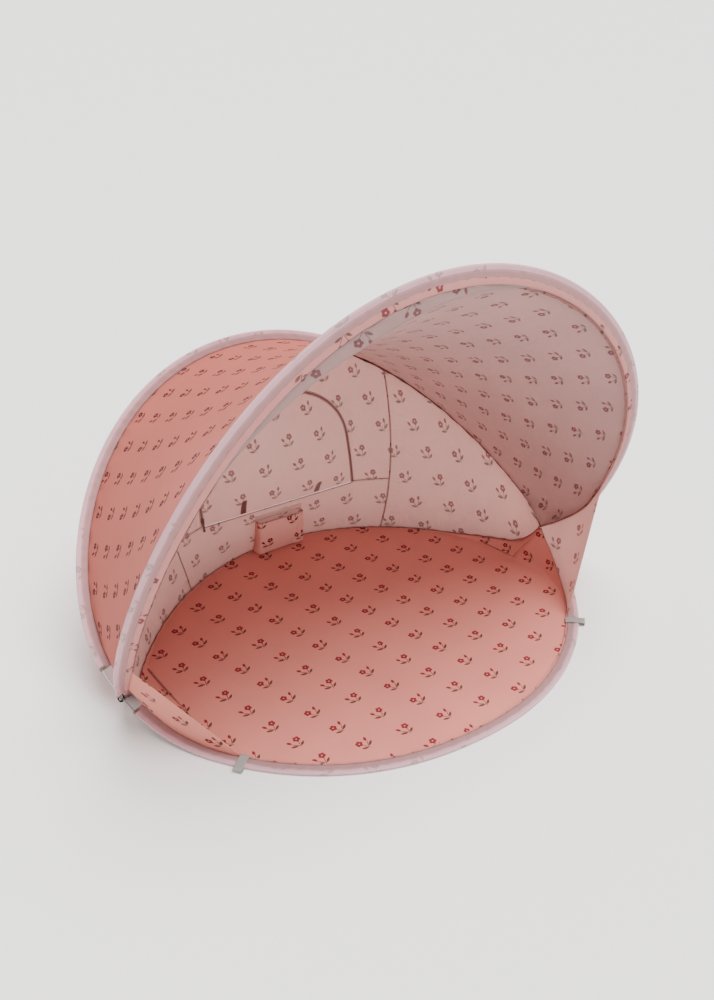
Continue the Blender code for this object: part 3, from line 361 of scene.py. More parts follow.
# The pocket's double layer: as the print side, paler, with little light through it.
POCKET_PRINT = woven_cloth("pocket print side", "#EDADA2", "#7A1F2C", "#5A3830", through=0.15)
POCKET_HEM = woven_cloth("pocket hem", "#EDCBC4")                                       # plain and pale
HEM_PRINT = woven_cloth("turned hem of printed cloth", "#D49590", "#7A3036", "#6A4A42", 0.9)    # a folded edge
# Strips cut from printed cloth, with darker bits of the print along them. The floor's tape keeps the binding's
# own colour; the seams' tape is painted darker (painted shade), and the edge tape lighter (painted light).
SHADED_BINDING_TAPE = woven_cloth("binding cut from printed cloth in painted shade", "#86524D", weave=0.4, roughness=0.78,
                           marks="#241012", through=0.0)
LIT_EDGE_TAPE = woven_cloth("edge binding in the light", "#C27F77", weave=0.4, marks="#7A4040", through=0.0)
FLOOR_TAPE_AND_CREASE_SHADE = woven_cloth("binding along the floor and painted crease shade", "#A0625A", weave=0.4, marks="#522A2A", through=0.0)
FLAT_SEAM = woven_cloth("flat felled seam", "#BC958E", weave=0.3, marks="#84514E")      # a stitched fold
ZIP_TAPE = woven_cloth("woven zip tape", "#BC9993", weave=0.5)                          # close woven, matt
HEM_CLOTH = woven_cloth("rolled hem cloth", "#8F8474", weave=0.4)                       # olive, at sleeve ends
SHADED_TIE_CLOTH = woven_cloth("folded tie strip", "#8B615F", weave=0.4)                       # painted dark for the light four layers keep out: painted shade
SHADED_TIE_REVERSE = woven_cloth("folded tie strip reverse", "#A28680", weave=0.4)               # its paler back, painted dark for the same reason: painted shade
WEBBING = woven_cloth("herringbone webbing", "#D8D1CA", weave=0.9, roughness=0.7, through=0.25)     # coarse
print("cloths", [m.name for m in bpy.data.materials if m.name.startswith(("woven", "coated", "sheer"))])


# %% [markdown]
# ## Metal, coil and cord
#
# The spring wire is drawn high-carbon steel: bright, smooth and a little
# streaked along its length. The zip's slider is a painted zinc casting, and
# its coil is nylon. The corner tie is black braided cord.

# %% Metal, coil and cord
def plain_finish(name, colour, roughness, metallic=0.0, grain_mm=2.0, bump=0.02, coat=0.0):
    """A solid finish with a fine grain in its colour and roughness."""
    material, tree, shader = finish(name)
    grain = add(tree, "TexNoise", add(tree, "TexCoord", out=3), None, 1000 / grain_mm, 3.0)
    tone = add(tree, "MapRange", grain, 0.3, 0.7, 0.88, 1.08)
    base = add(tree, "VectorMath", linear(colour)[:3], tone, operation="MULTIPLY")
    worn = add(tree, "MapRange", grain, 0.3, 0.7, roughness - 0.06, roughness + 0.08)
    dent = add(tree, "Bump", bump, grain_mm / 1000, None, grain)
    for output, socket in ((base, "Base Color"), (worn, "Roughness"), (dent, "Normal")):
        tree.links.new(output, shader.inputs[socket])
    shader.inputs["Metallic"].default_value = metallic
    shader.inputs["Coat Weight"].default_value = coat
    return material


SPRING_STEEL = plain_finish("drawn spring steel", "#A9ADB3", 0.30, 1.0)                 # bright and smooth
CAST_ZINC = plain_finish("painted zinc casting", "#6B4B4A", 0.42, 0.4, coat=0.3)        # a satin coat
NYLON_COIL = plain_finish("nylon zip coil", "#8E5652", 0.45)                            # dyed, semi-matt
BLACK_CORD = plain_finish("black braided cord", "#17161A", 0.7, grain_mm=0.8, bump=0.4) # dull, with a braid


# %% [markdown]
# ## Making a panel
#
# A panel starts as a flat grid. Its two directions are shares across and up,
# and one function says where each share lies in space, so moving the grid's
# vertices there gives the sewn shape. The flat pattern, in metres along the
# cloth, goes into the UV map. Small puckers run in from the seams, because
# thread draws thin cloth together. Solidify then gives it its thickness, with
# the reverse side's material on the far face.

# %% Panels
CLOTH = 0.0006
RANDOM, OCTAVES = np.random.RandomState(7), 4


def soft_noise(count):
    """A repeatable uneven line from 0 to 1: pucker heights along a seam."""
    t = np.linspace(0, 1, count)
    total = np.zeros(count)
    for octave in range(OCTAVES):
        knots = RANDOM.uniform(-1, 1, 8 * 2**octave + 2)
        total += np.interp(t, np.linspace(0, 1, len(knots)), knots) / (1 + octave)
    return total


def mesh_from(bm, name):
    """A named mesh from bmesh data, which is then freed."""
    mesh = bpy.data.meshes.new(name)
    bm.to_mesh(mesh)
    bm.free()
    return mesh


def link(name, mesh, materials):
    """A new piece from a mesh."""
    piece = bpy.data.objects.new(name, mesh)
    bpy.context.scene.collection.objects.link(piece)
    for material in materials:
        mesh.materials.append(material)
    mesh.shade_smooth()
    return piece


def grid_mesh(name, surface, columns, rows, lift=None, flip=False, pattern=None):
    """A grid whose vertices a surface function places, with the flat pattern as its UV map."""
    bm = bmesh.new()
    bmesh.ops.create_grid(bm, x_segments=columns, y_segments=rows, size=0.5, calc_uvs=True)
    shares = np.array([vert.co[:2] for vert in bm.verts]) + 0.5
    places = surface(shares[:, 0], shares[:, 1])
    step = 1e-3
    if lift is not None:
        run, rise = (surface(*clipped(shares + [way]).T) - surface(*clipped(shares - [way]).T)
                     for way in (np.array([step, 0.0]), np.array([0.0, step])))
        places = places + unit(np.cross(run, rise)) * lift(shares[:, 0], shares[:, 1], places)[:, None]
    for vert, place in zip(bm.verts, places):
        vert.co = place
    order = np.round(shares * [columns, rows]).astype(int)
    table = np.zeros((columns + 1, rows + 1, 3))
    table[order[:, 0], order[:, 1]] = places
    along = np.linalg.norm(np.diff(table, axis=0), axis=2)
    across = np.concatenate([[0.0], np.cumsum(along[:, rows // 2])])
    steps = np.linalg.norm(np.diff(table, axis=1), axis=2)
    upward = np.concatenate([np.zeros((columns + 1, 1)), np.cumsum(steps, axis=1)], axis=1)
    upward -= upward[:, rows // 2:rows // 2 + 1]
    across -= across[columns // 2]
    layer = bm.loops.layers.uv.verify()
    for face in bm.faces:
        for loop in face.loops:
            a, b = order[loop.vert.index]
            place = places[loop.vert.index]
            loop[layer].uv = (across[a], upward[a, b]) if pattern is None else pattern(place)
    bmesh.ops.remove_doubles(bm, verts=bm.verts, dist=1e-5)
    if flip:
        bmesh.ops.reverse_faces(bm, faces=bm.faces)
    area = sum(face.calc_area() for face in bm.faces)
    mesh = mesh_from(bm, name)
    mesh.uv_layers[0].name = "cloth"
    size = (float(across[-1] - across[0]), float((upward[:, -1] - upward[:, 0]).max()))
    return mesh, size, area


def thicken(piece, thickness, second):
    """Give a sheet its thickness, with the second material on the far side."""
    shell = piece.modifiers.new("cloth thickness", "SOLIDIFY")
    shell.thickness = thickness
    shell.offset = 0.0
    shell.material_offset = 1 if second else 0


def apply_modifiers(piece):
    """Fix a piece's modifiers into its mesh."""
    bpy.context.view_layer.update()
    done = bpy.data.meshes.new_from_object(piece.evaluated_get(bpy.context.evaluated_depsgraph_get()))
    done.name = piece.name
    piece.modifiers.clear()
    piece.data = done


# Two places across the fold, given as the body of cloth that spans both halves. The panel does not use
# them: such a piece is fixed in place with no body.
CORNER_BACK = (0.0, -0.058, 0.092)
CORNER_FORE = (0.0, -0.102, 0.105)
CORNER_BLEND = (CORNER_BACK, CORNER_FORE)


def panel(name, surface, columns, rows, materials, stands_for, lift=None,
          flip=False, body=REAR_BODY, cloth=CLOTH, pattern=None, cut_size=None):
    """A whole cloth panel: sewn shape, thickness, and its body; given two places for its body, it is only fixed
    in place.
    """
    mesh, size, area = grid_mesh(name, surface, columns, rows, lift, flip, pattern)
    size = cut_size or size
    piece = link(name, mesh, materials)
    thicken(piece, cloth, len(materials) > 1)
    apply_modifiers(piece)
    if stands_for:
        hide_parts(*stands_for)
    if isinstance(body, tuple):
        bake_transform(piece)
    else:
        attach(piece, body)


# %% Puckers
SEED_COUNT = 512


def puckers(seams, height, run, count):
    """Small ridges that run in from one or more edges of a panel and die away."""
    profiles = [soft_noise(SEED_COUNT) for _ in seams]

    def lift(s, t, places):
        total = np.zeros(len(s))
        for edge, profile in zip(seams, profiles):
            distance, along = {"low": (t, s), "high": (1 - t, s), "left": (s, t)}[edge]
            ridge = np.interp(along, np.linspace(0, 1, SEED_COUNT), profile)
            wave = np.sin(along * count * 2 * math.pi + 3 * ridge) * (0.35 + 0.65 * np.abs(ridge))
            total += height * wave * eased(distance, run) * clipped(distance / run * 9)
        return total
    return lift


# %% [markdown]
# ## The floor
#
# The real floor is one sheet, laid print side up, and sewn to the sleeves all
# round. At the two corners it turns up sharply to meet the crossing wires, and
# that leaves a crease on the ground, with a dark strip along it as painted shade.
# One sheet spans both halves of the tent; here it is fixed in place with no body.

# %% Floor
FLOOR_CENTRE = np.array([0.0, -0.05])
FLOOR_INSET, FLOOR_SPREAD = 0.005, 0.2  # where the cloth leaves the ground, further in under a higher seam
FLOOR_GROUND = CLOTH / 2 + 0.0002
LAID_SHARE = 0.88                      # of the way from the centre out, the rest is the rise to the seam
SWELL, DRAWN = 0.0009, 0.0010          # heights of the broad swells and of the puckers at the seam
FLOOR_CUT = (1.05, 0.82)               # the oval's full width and depth, laid flat
FOLD_Y = float(CROSS[1])
LEFT_CREASE = np.array([(-0.4484, 0.0600), (-0.4300, -0.2400)])
RIGHT_CREASE = np.array([(0.4533, 0.0846), (0.4969, -0.1079)])


def seam_inset(seam, distance):
    """The place on the ground where the floor's cloth turns up to its seam."""
    edge = seam.line(distance)
    return edge[..., :2] + unit(FLOOR_CENTRE - edge[..., :2]) * (FLOOR_INSET + FLOOR_SPREAD * edge[..., 2:3])


def crease_run(seam, side, end):
    """How far from the corner the crease's end meets the inset line of a seam."""
    gaps = np.linspace(0.0, 0.34, 681)
    away = np.linalg.norm(seam_inset(seam, side * (seam.reach - gaps)) - end, axis=1)
    return float(gaps[np.argmin(away)])


CORNERS = {}
for side, crease in ((-1, LEFT_CREASE), (1, RIGHT_CREASE)):
    back, fore = crease_run(REAR, side, crease[0]), crease_run(FRONT, side, crease[1])
    ends = [seam_inset(seam, np.array(side * (seam.reach - run)))
            for seam, run in ((REAR, back), (FRONT, fore))]
    CORNERS[side] = (np.array(ends), back, fore)
    print("crease from the corner in m", round(back, 3), round(fore, 3), "ends", np.round(ends, 3).tolist())


def turned_up(seam, distance, end):
    """Where the laid part of the floor stops: along the seam's inset, or along the crease at a corner."""
    stop = seam_inset(seam, distance)
    for side, (crease, back, fore) in CORNERS.items():
        gap = (seam.reach - side * distance) / (back if end == 0 else fore)
        share = 0.5 - 0.5 * gap if end == 0 else 0.5 + 0.5 * gap
        on_crease = crease[0] + (crease[1] - crease[0]) * clipped(share)[..., None]
        stop = np.where(((gap >= 0) & (gap <= 1))[..., None], on_crease, stop)
    return stop


def floor_place(s, t):
    """The floor: once round its edge by s, and from its centre out to the seam by t."""
    front = s < 0.5
    turn = np.where(front, 1 - 4 * s, 4 * s - 3)
    edge = np.where(front[:, None], FRONT.line(turn * FRONT.reach), REAR.line(turn * REAR.reach))
    stop = np.where(front[:, None], turned_up(FRONT, turn * FRONT.reach, 1),
                    turned_up(REAR, turn * REAR.reach, 0))
    up = clipped((t - LAID_SHARE) / (1 - LAID_SHARE))[:, None]
    flat = FLOOR_CENTRE + (stop - FLOOR_CENTRE) * clipped(t / LAID_SHARE)[:, None]
    ground = np.column_stack([flat, np.full(len(s), FLOOR_GROUND)])
    return ground + (edge - ground) * up


def floor_pattern(place):
    """The floor's flat pattern: its plan, opened out where the corners turn up."""
    return place[0] + math.copysign(place[2], place[0]), place[1]


def floor_unevenness(s, t, places):
    """Flat cloth on the ground is never quite flat: low broad swells that die away at the seam."""
    x, y = places[:, 0], places[:, 1]
    swell = SWELL * (1 + np.sin(17 * x + 4 * np.sin(9 * y)) * np.sin(13 * y + 2.2 * np.sin(11 * x + 1)))
    turn = 2 * math.pi * s
    drawn = DRAWN * np.abs(np.sin(10 * turn + 2 * np.sin(7 * turn))) * eased(1 - t, 0.09)
    return swell * clipped((1 - t) * 8) + drawn * clipped((1 - t) * 60)


panel("floor_cloth", floor_place, 320, 70, (FLOOR_SIDE, REVERSE_SIDE),
      ["floor_front", "floor_rear"],
      lift=floor_unevenness, body=CORNER_BLEND, pattern=floor_pattern, cut_size=FLOOR_CUT)


CREASE_FROM, CREASE_SHARE = 0.03, 0.94      # where the shade strip starts along its crease, and how much of the crease it takes
CREASE_LIFT, CREASE_CROWN = 0.0026, 0.0008


def crease_shade_place(crease, width):
    """A dark strip along a corner's crease, painted shade where the floor turns up: along by s, and across by t.
    """
    def place(s, t):
        line = crease[0] + (crease[1] - crease[0]) * (CREASE_FROM + CREASE_SHARE * s[:, None])
        side = unit(np.array([crease[0][1] - crease[1][1], crease[1][0] - crease[0][0]]))
        crown = FLOOR_GROUND + CREASE_LIFT + CREASE_CROWN * np.sin(t * math.pi)
        return np.column_stack([line + side * ((t - 0.5) * width)[:, None], crown])
    return place


# A dark strip along each corner's crease, laid on the ground as painted shade.
for side, sign, width in (("left", -1, 0.0040), ("right", 1, 0.0028)):
    panel("floor_crease_shade_" + side, crease_shade_place(CORNERS[sign][0], width), 40, 4, (FLOOR_TAPE_AND_CREASE_SHADE,),
          [], body=CORNER_BLEND)

# %% [markdown]
# ## The roof
#
# The roof is a saddle: it arches from side to side, and sags a little from the
# canopy's edge back to the rear arch. Its print side is outside. When the front
# of the tent folds, this cloth goes slack between the two hoops; here it is fixed
# in place with no body. On the left a lip of it stays in line with the canopy's
# sleeve, and there a sharp tension fold runs across the cloth.

# %% Roof
ROOF_SAG = 0.060
LIP_SHARE, LIP_WIDTH, LIP_CENTRE, LIP_HALF = 0.08, 0.024, -0.15, 0.34
BROAD_FOLD, DRAWN_FOLD = 0.0035, 0.0030     # heights of the folds over the saddle, and of those by its corners


def roof_place(s, t):
    """The roof: across by s, and from the canopy's seam to the arch's seam by t."""
    u = 2 * s - 1
    canopy = VISOR.line(u * VISOR.reach)
    arch = ARCH.line(u * ARCH.reach)
    width = LIP_WIDTH * eased(np.abs(u - LIP_CENTRE), LIP_HALF)
    lip = unit(VISOR.across(u * VISOR.reach)) * width[..., None]
    past = clipped((t - LIP_SHARE) / (1 - LIP_SHARE))
    place = canopy + lip * np.minimum(t / LIP_SHARE, 1)[..., None] + (arch - canopy - lip) * past[..., None]
    place[..., 2] -= ROOF_SAG * (1 - u**2) * 4 * past * (1 - past)
    return place


def roof_folds(s, t, places):
    """Broad tension folds that cross the saddle from corner to corner, and puckers at both seams."""
    u = 2 * s - 1
    broad = BROAD_FOLD * np.sin(5.0 * u + 3.0 * t) * 4 * t * (1 - t) * (1 - u**2)
    drawn = DRAWN_FOLD * np.sin(26 * (t - 0.5) * (1.2 - np.abs(u))) * eased(1 - np.abs(u), 0.35)
    return broad + drawn + ROOF_PUCKERS(s, t, places)


ROOF_PUCKERS = puckers(["low", "high"], 0.0016, 0.10, 34)
ROOF_BLEND = ((0.0, 0.30, 0.45), (0.0, -0.22, 0.75))     # two places given as the roof's body, which the panel does not use
panel("roof_cloth", roof_place, 240, 90, (SHADED_ROOF_REVERSE, SHADED_ROOF_PRINT),
      ["roof_panel"], lift=roof_folds, flip=True, body=ROOF_BLEND)

# %% [markdown]
# ## The back wall
#
# The wall bows in towards the window's straight bottom edge. It is cut in four
# pieces: a side piece at each end, a low band under the window and a surround
# round it. Two upright seams join them. All are shapes on one curved surface,
# so one function places the whole wall and each piece takes its own part.

# %% Wall surface
HINGE_Y = 0.300
SEAM_SHARE = 0.384615
WINDOW_HALF, WINDOW_FOOT, WINDOW_SIDE_TOP, WINDOW_TOP, WINDOW_POWER = 0.200, 0.134, 0.250, 0.385, 2.3
SIDE_SHARE = 0.2      # of the window's outline is one straight side
ZIP_WIDTH = 0.008
WALL_U = np.linspace(0, 1, 241)


def ruled(u, v):
    """The wall before its bow."""
    low = REAR.line(u * REAR.reach)
    high = ARCH.line(u * ARCH.reach)
    return low + (high - low) * np.asarray(v)[..., None]


def share_at(u, z):
    """How far up the wall a height comes."""
    low = REAR.line(u * REAR.reach)[..., 2]
    high = ARCH.line(u * ARCH.reach)[..., 2]
    return (z - low) / (high - low)


def wall_bow():
    """How far the wall bows in at each share across, so that the window's foot comes out straight."""
    inner = WALL_U <= SEAM_SHARE
    u = WALL_U[inner]
    share = share_at(u, WINDOW_FOOT)
    place = ruled(u, share)
    bow = (place[:, 1] - HINGE_Y) / (4 * share * (1 - share))
    edge = float(u[place[:, 0] >= WINDOW_HALF + ZIP_WIDTH][0])
    fade = float(np.interp(edge, u, bow)) * (1 - ((WALL_U - edge) / (1 - edge)) ** 2)
    return np.where(WALL_U <= edge, np.interp(WALL_U, u, bow), fade)


WALL_BOW = wall_bow()


def wall_place(u, v):
    """A place on the wall by its shares across and up."""
    place = ruled(u, v)
    place[..., 1] -= np.interp(np.abs(u), WALL_U, WALL_BOW) * 4 * v * (1 - v)
    return place


def wall_shares(x, z):
    """The shares of the wall at a place in front view."""
    low, high = np.full(np.shape(x), -1.0), np.full(np.shape(x), 1.0)
    for _ in range(40):
        middle = (low + high) / 2
        left = wall_place(middle, share_at(middle, z))[..., 0] < x
        low, high = np.where(left, middle, low), np.where(left, high, middle)
    return middle, share_at(middle, z)


def on_wall(x, z, inward=0.0):
    """A place on the wall by its front view, or a little way in front of it."""
    x, z = np.broadcast_arrays(np.asarray(x, dtype=float), np.asarray(z, dtype=float))
    place = wall_place(*wall_shares(x, z))
    place[..., 1] -= inward
    return place


# %% Wall pieces
WALL_ARC_U = np.linspace(-1, 1, 801)
WALL_ARC_LINE = wall_place(WALL_ARC_U, np.full_like(WALL_ARC_U, 0.3))
WALL_ARC = running_length(WALL_ARC_LINE)
WALL_TURN = np.arctan2(WALL_ARC_LINE[:, 0], WALL_ARC_LINE[:, 1] - FOLD_Y)
WALL_OUT = np.hypot(WALL_ARC_LINE[:, 0], WALL_ARC_LINE[:, 1] - FOLD_Y)


def wall_pattern(place):
    """The wall's flat pattern: round the tent by its length, and up by height, so the print stays upright."""
    turn = math.atan2(place[0], place[1] - FOLD_Y)
    larger = math.hypot(place[0], place[1] - FOLD_Y) / np.interp(turn, WALL_TURN, WALL_OUT)
    return (np.interp(turn, WALL_TURN, WALL_ARC) - WALL_ARC[-1] / 2) * larger, place[2] * 1.03


def side_piece(sign):
    """One side of the wall, from the upright seam to the corner."""
    def place(s, t):
        return wall_place(sign * (SEAM_SHARE + (1 - SEAM_SHARE) * s), t)
    return place


def band_place(s, t):
    """The low band, from the floor's seam up to the window's foot."""
    u = SEAM_SHARE * (2 * s - 1)
    return wall_place(u, share_at(u, WINDOW_FOOT - CLOTH) * t)


def up_side(s):
    """How far up a straight side of the window a place on its outline is."""
    return np.minimum(clipped(s / SIDE_SHARE), clipped((1 - s) / SIDE_SHARE))


def window_line(offset, s):
    """The window's outline in front view, from its left foot round to its right foot."""
    half = WINDOW_HALF + offset
    rise = WINDOW_TOP + offset - WINDOW_SIDE_TOP
    up, top = up_side(s), clipped((s - SIDE_SHARE) / (1 - 2 * SIDE_SHARE)) * math.pi
    x = -half * powered(np.cos(top), 2 / WINDOW_POWER)
    z = WINDOW_SIDE_TOP + rise * powered(np.sin(top), 2 / WINDOW_POWER)
    return x, np.where(up < 1, WINDOW_FOOT + (WINDOW_SIDE_TOP - WINDOW_FOOT) * up, z)


def surround_place(s, t):
    """The wall round the window, from the zip out to the upright seams and the arch."""
    inner_u, inner_v = wall_shares(*window_line(ZIP_WIDTH / 2, s))
    up, outer_u = up_side(s), SEAM_SHARE * (2 * clipped((s - SIDE_SHARE) / (1 - 2 * SIDE_SHARE)) - 1)
    foot = float(share_at(np.array(SEAM_SHARE), WINDOW_FOOT))
    outer_v = np.where(up < 1, foot + (1 - foot) * up, 1.0)
    return wall_place(inner_u + (outer_u - inner_u) * t, inner_v + (outer_v - inner_v) * t)


WALL_FACES = (PRINT_SIDE, REVERSE_SIDE)
for name, place, columns, rows, rests_on, node, edges, height, run, count, flip in (
        ("left", side_piece(-1), 90, 60, ["rear_floor_sleeve", "rear_arch_sleeve"], "wall_left",
         ["low", "high", "left"], 0.0014, 0.16, 12, False),
        ("right", side_piece(1), 90, 60, ["rear_floor_sleeve", "rear_arch_sleeve"], "wall_right",
         ["low", "high", "left"], 0.0014, 0.16, 12, True),
        ("band", band_place, 120, 24, ["rear_floor_sleeve"], "wall_low_band", ["low"], 0.0012, 0.5, 22, True),
        ("surround", surround_place, 180, 26, ["rear_arch_sleeve"], "wall_window_surround",
         ["low", "high"], 0.0008, 0.3, 30, True)):
    panel("wall_cloth_" + name, place, columns, rows, WALL_FACES, [node],
          lift=puckers(edges, height, run, count), flip=flip, pattern=wall_pattern)

# %% [markdown]
# ## The window's flap
#
# The flap fills the window and unzips all round its arch, so it hangs from its
# straight foot alone. Two short strips at the foot tie it up when it is rolled.

# %% Flap and ties
FLAP_GAP, FLAP_BEHIND = -0.0012, 0.0007     # the flap's edge lies just behind the tape


def flap_place(s, t):
    """The flap: across by s, and from its foot to the zip by t."""
    turn, short = (s - 0.5) * math.pi, ZIP_WIDTH / 2 + FLAP_GAP
    x = (WINDOW_HALF - short) * powered(np.sin(turn), 2 / WINDOW_POWER)
    top = WINDOW_SIDE_TOP + (WINDOW_TOP - short - WINDOW_SIDE_TOP) * powered(np.cos(turn), 2 / WINDOW_POWER)
    return on_wall(x, WINDOW_FOOT + (top - WINDOW_FOOT) * t, -FLAP_BEHIND)


panel("window_flap_cloth", flap_place, 96, 60, WALL_FACES, ["window_flap"],
      lift=puckers(["high"], 0.0006, 0.25, 16), flip=True, body="window_flap_body", pattern=wall_pattern)

TIE_X, TIE_WIDTH, TIE_RISE, TIE_TAPER = 0.098, 0.014, 0.004, 0.15
TIE_OFF_WALL, TIE_BULGE = 0.0018, 0.0013
TIES = {"left": (-TIE_X, 0.030, 0.005, SHADED_TIE_CLOTH), "right": (TIE_X, 0.021, 0.010, SHADED_TIE_REVERSE)}


def tie_place(x, length, drift):
    """A folded strip that stands up from the flap's foot."""
    def place(s, t):
        z = WINDOW_FOOT + TIE_RISE + length * t + 0.002 * np.sin(s * math.pi) * t
        across = x + TIE_WIDTH * (s - 0.5) * (1 - TIE_TAPER * t) + drift * t**2
        bulge = TIE_BULGE * np.sin(t * math.pi) * (0.6 + 0.4 * np.sin(s * math.pi))
        return on_wall(across, z, TIE_OFF_WALL + bulge)
    return place


for side, (x, length, drift, tie_finish) in TIES.items():
    panel("flap_tie_cloth_" + side, tie_place(x, length, drift), 10, 20, (tie_finish,),
          ["flap_tie_" + side], flip=True, body=f"flap_tie_{side}_body", cloth=0.001)

# %% [markdown]
# ## The pocket
#
# The pocket is a box of printed cloth on the low band: two sides, a front and a
# tucked-in foot, cut as one sheet. The outline in plan is a superellipse, a
# square with eased corners, so one formula gives sides and front together.

# %% Pocket
POCKET_HALF, POCKET_FOOT, POCKET_TOP = 0.062, 0.0045, 0.107
POCKET_DEPTH_FOOT, POCKET_DEPTH_TOP = 0.033, 0.021
POCKET_POWER = 9.0
POCKET_FOLD_SHARE, POCKET_TUCK = 0.10, 0.004          # the tucked-in foot: its share of the sheet, its height
POCKET_TAPER, POCKET_SHIFT, POCKET_DROOP = 0.04, 0.007, 0.003     # at the top: narrower, leftward, lower right
POCKET_OFF_WALL, POCKET_BULGE = 0.0014, 0.0022
PLEATS, PLEAT_WIDTH = ((0.0036, 0.50, 0.34), (0.0020, 0.86, 0.0)), 0.05     # depth, place across, drift


def pocket_place(s, t):
    """The pocket's sheet: round from side to side by s, and up from its foot by t."""
    turn = s * math.pi
    across = -powered(np.cos(turn), 2 / POCKET_POWER)
    stand = np.sin(turn) ** (2 / POCKET_POWER)
    foot = clipped(t / POCKET_FOLD_SHARE)
    up = clipped((t - POCKET_FOLD_SHARE) / (1 - POCKET_FOLD_SHARE))
    depth = POCKET_DEPTH_FOOT + (POCKET_DEPTH_TOP - POCKET_DEPTH_FOOT) * up
    pleat = sum(deep * np.exp(-((across - middle - drift * up) / PLEAT_WIDTH) ** 2)
                for deep, middle, drift in PLEATS)
    bulge = POCKET_BULGE * np.sin(up * math.pi) * (1 - across**2)
    inward = POCKET_OFF_WALL + (depth + bulge - pleat) * stand * np.sin(foot * math.pi / 2)
    z = (POCKET_FOOT + POCKET_TUCK * (1 - np.cos(foot * math.pi / 2))
         + (POCKET_TOP - POCKET_FOOT - POCKET_TUCK) * up)
    x = across * POCKET_HALF * (1 - POCKET_TAPER * up) - POCKET_SHIFT * up
    return on_wall(x, z - POCKET_DROOP * up * (across + 1) / 2, inward)


TOP_HEM_WIDTH = 0.0028
BACK_HEM_FOOT, BACK_HEM_WIDTH, BACK_HEM_SHIFT, BACK_HEM_LIFT = 0.104, 0.014, 0.005, 0.0020


def pocket_hem_place(s, t):
    """The pocket's bound top edge."""
    line = pocket_place(0.02 + 0.96 * s, np.ones_like(s))
    return line + np.column_stack([0 * s, 0 * s, TOP_HEM_WIDTH * (t - 0.6)])


def pocket_back_place(s, t):
    """The pale hem of the pocket's back layer, flat on the wall over the opening."""
    return on_wall(POCKET_HALF * (2 * s - 1) - BACK_HEM_SHIFT, BACK_HEM_FOOT + BACK_HEM_WIDTH * t, BACK_HEM_LIFT)


panel("pocket_cloth", pocket_place, 96, 44, (POCKET_PRINT, REVERSE_SIDE), ["wall_pocket"])
panel("pocket_top_hem", pocket_hem_place, 90, 3, (FLAT_SEAM,), [],
      cloth=0.0016)
panel("pocket_back_hem", pocket_back_place, 40, 6, (POCKET_HEM,), [],
      flip=True)

# %% [markdown]
# ## The gussets
#
# A small triangle of cloth closes each side between the floor's front seam and
# the foot of the canopy. It is pulled tight, so its free edge is straight.

# %% Gussets
GUSSETS = {"left": (-1, 0.155, 0.280), "right": (1, 0.245, 0.262)}     # rise up the canopy, run on the floor


def gusset_place(sign, rise, run):
    """One gusset: from the corner to its free edge by s, and from the floor up to the canopy by t."""
    def place(s, t):
        low = FRONT.line(sign * (FRONT.reach - s * run))
        high = VISOR.line(sign * (VISOR.reach - s * rise))
        return low + (high - low) * t[..., None]
    return place


for side, (sign, rise, run) in GUSSETS.items():
    panel("gusset_cloth_" + side, gusset_place(sign, rise, run), 40, 40, WALL_FACES,
          ["gusset_" + side],
          lift=puckers(["low", "high"], 0.0010, 0.2, 7), flip=sign > 0, body=CORNER_BLEND)

# %% [markdown]
# ## Sleeves and wires
#
# Each hoop runs in a sleeve: a strip of sheer cloth folded round the wire and
# sewn into the seam with the panels. The fold lies close round the wire and
# the rest is flat, and the stitching puckers it along the seam. At the corners
# the sleeves stop, and the bare wires cross.

# %% Sleeves
SLEEVES = {"front_floor": (FRONT, 0.038, FRONT_BODY), "canopy": (VISOR, 0.022, FRONT_BODY),
           "rear_arch": (ARCH, 0.068, REAR_BODY), "rear_floor": (REAR, 0.060, REAR_BODY)}
FLAT_SHARE = 0.3     # of the strip is one flat leg, and what is left between the two legs goes round the wire
SLEEVE_PLAY = 0.0006     # between the wire's bore and the cloth
RIPPLE, LEG_LAY = 0.0007, 0.0009     # height of the puckers, and how far a leg lies off the middle at the seam


def sleeve_place(seam, trim, swell=0.0, reach_share=1.0):
    """A strip folded round the wire: along by s, and round from one open edge to the other by t."""
    ridge = SLEEVE_BORE + SLEEVE_PLAY + swell

    def place(s, t):
        distance = (2 * s - 1) * (seam.reach - trim)
        across = seam.across(distance)
        width = np.linalg.norm(across, axis=-1) * reach_share
        inboard = unit(across)
        up = unit(np.cross(inboard, seam.ahead(distance, 0.002)))
        turn = (clipped((t - FLAT_SHARE) / (1 - 2 * FLAT_SHARE)) - 0.5) * math.pi
        flat = np.maximum(clipped(1 - t / FLAT_SHARE), clipped((t - 1 + FLAT_SHARE) / FLAT_SHARE))
        inward = np.where(flat > 0, flat * (width - 0.0002), -ridge * np.cos(turn))
        lay = ridge * (1 - flat) ** 1.6 + LEG_LAY * (1 - (1 - flat) ** 1.6)
        height = np.where(flat > 0, -np.sign(t - 0.5) * lay, -ridge * np.sin(turn))
        ripple = RIPPLE * np.sin(distance * 190 + 2 * np.sin(distance * 37)) * flat * (1 - flat) * 4
        return seam.wire(distance) + inboard * inward[..., None] + up * (height + ripple)[..., None]
    return place


CANOPY_STRIP_SHARE = 0.66     # the canopy's sleeve takes this much of its seam's width, a turned hem the rest
HEM_OVERLAP, HEM_TRIM, HEM_PUFF, HEM_RIPPLE = 0.06, 0.030, 0.0008, 0.0004
for name, (seam, trim, body) in SLEEVES.items():
    strip = sleeve_place(seam, trim, reach_share=CANOPY_STRIP_SHARE if seam is VISOR else 1.0)
    panel(name + "_sleeve_cloth", strip, 420, 24, (SLEEVE_CLOTH,), [name + "_sleeve"],
          body=body, cloth=0.0005, flip=True)


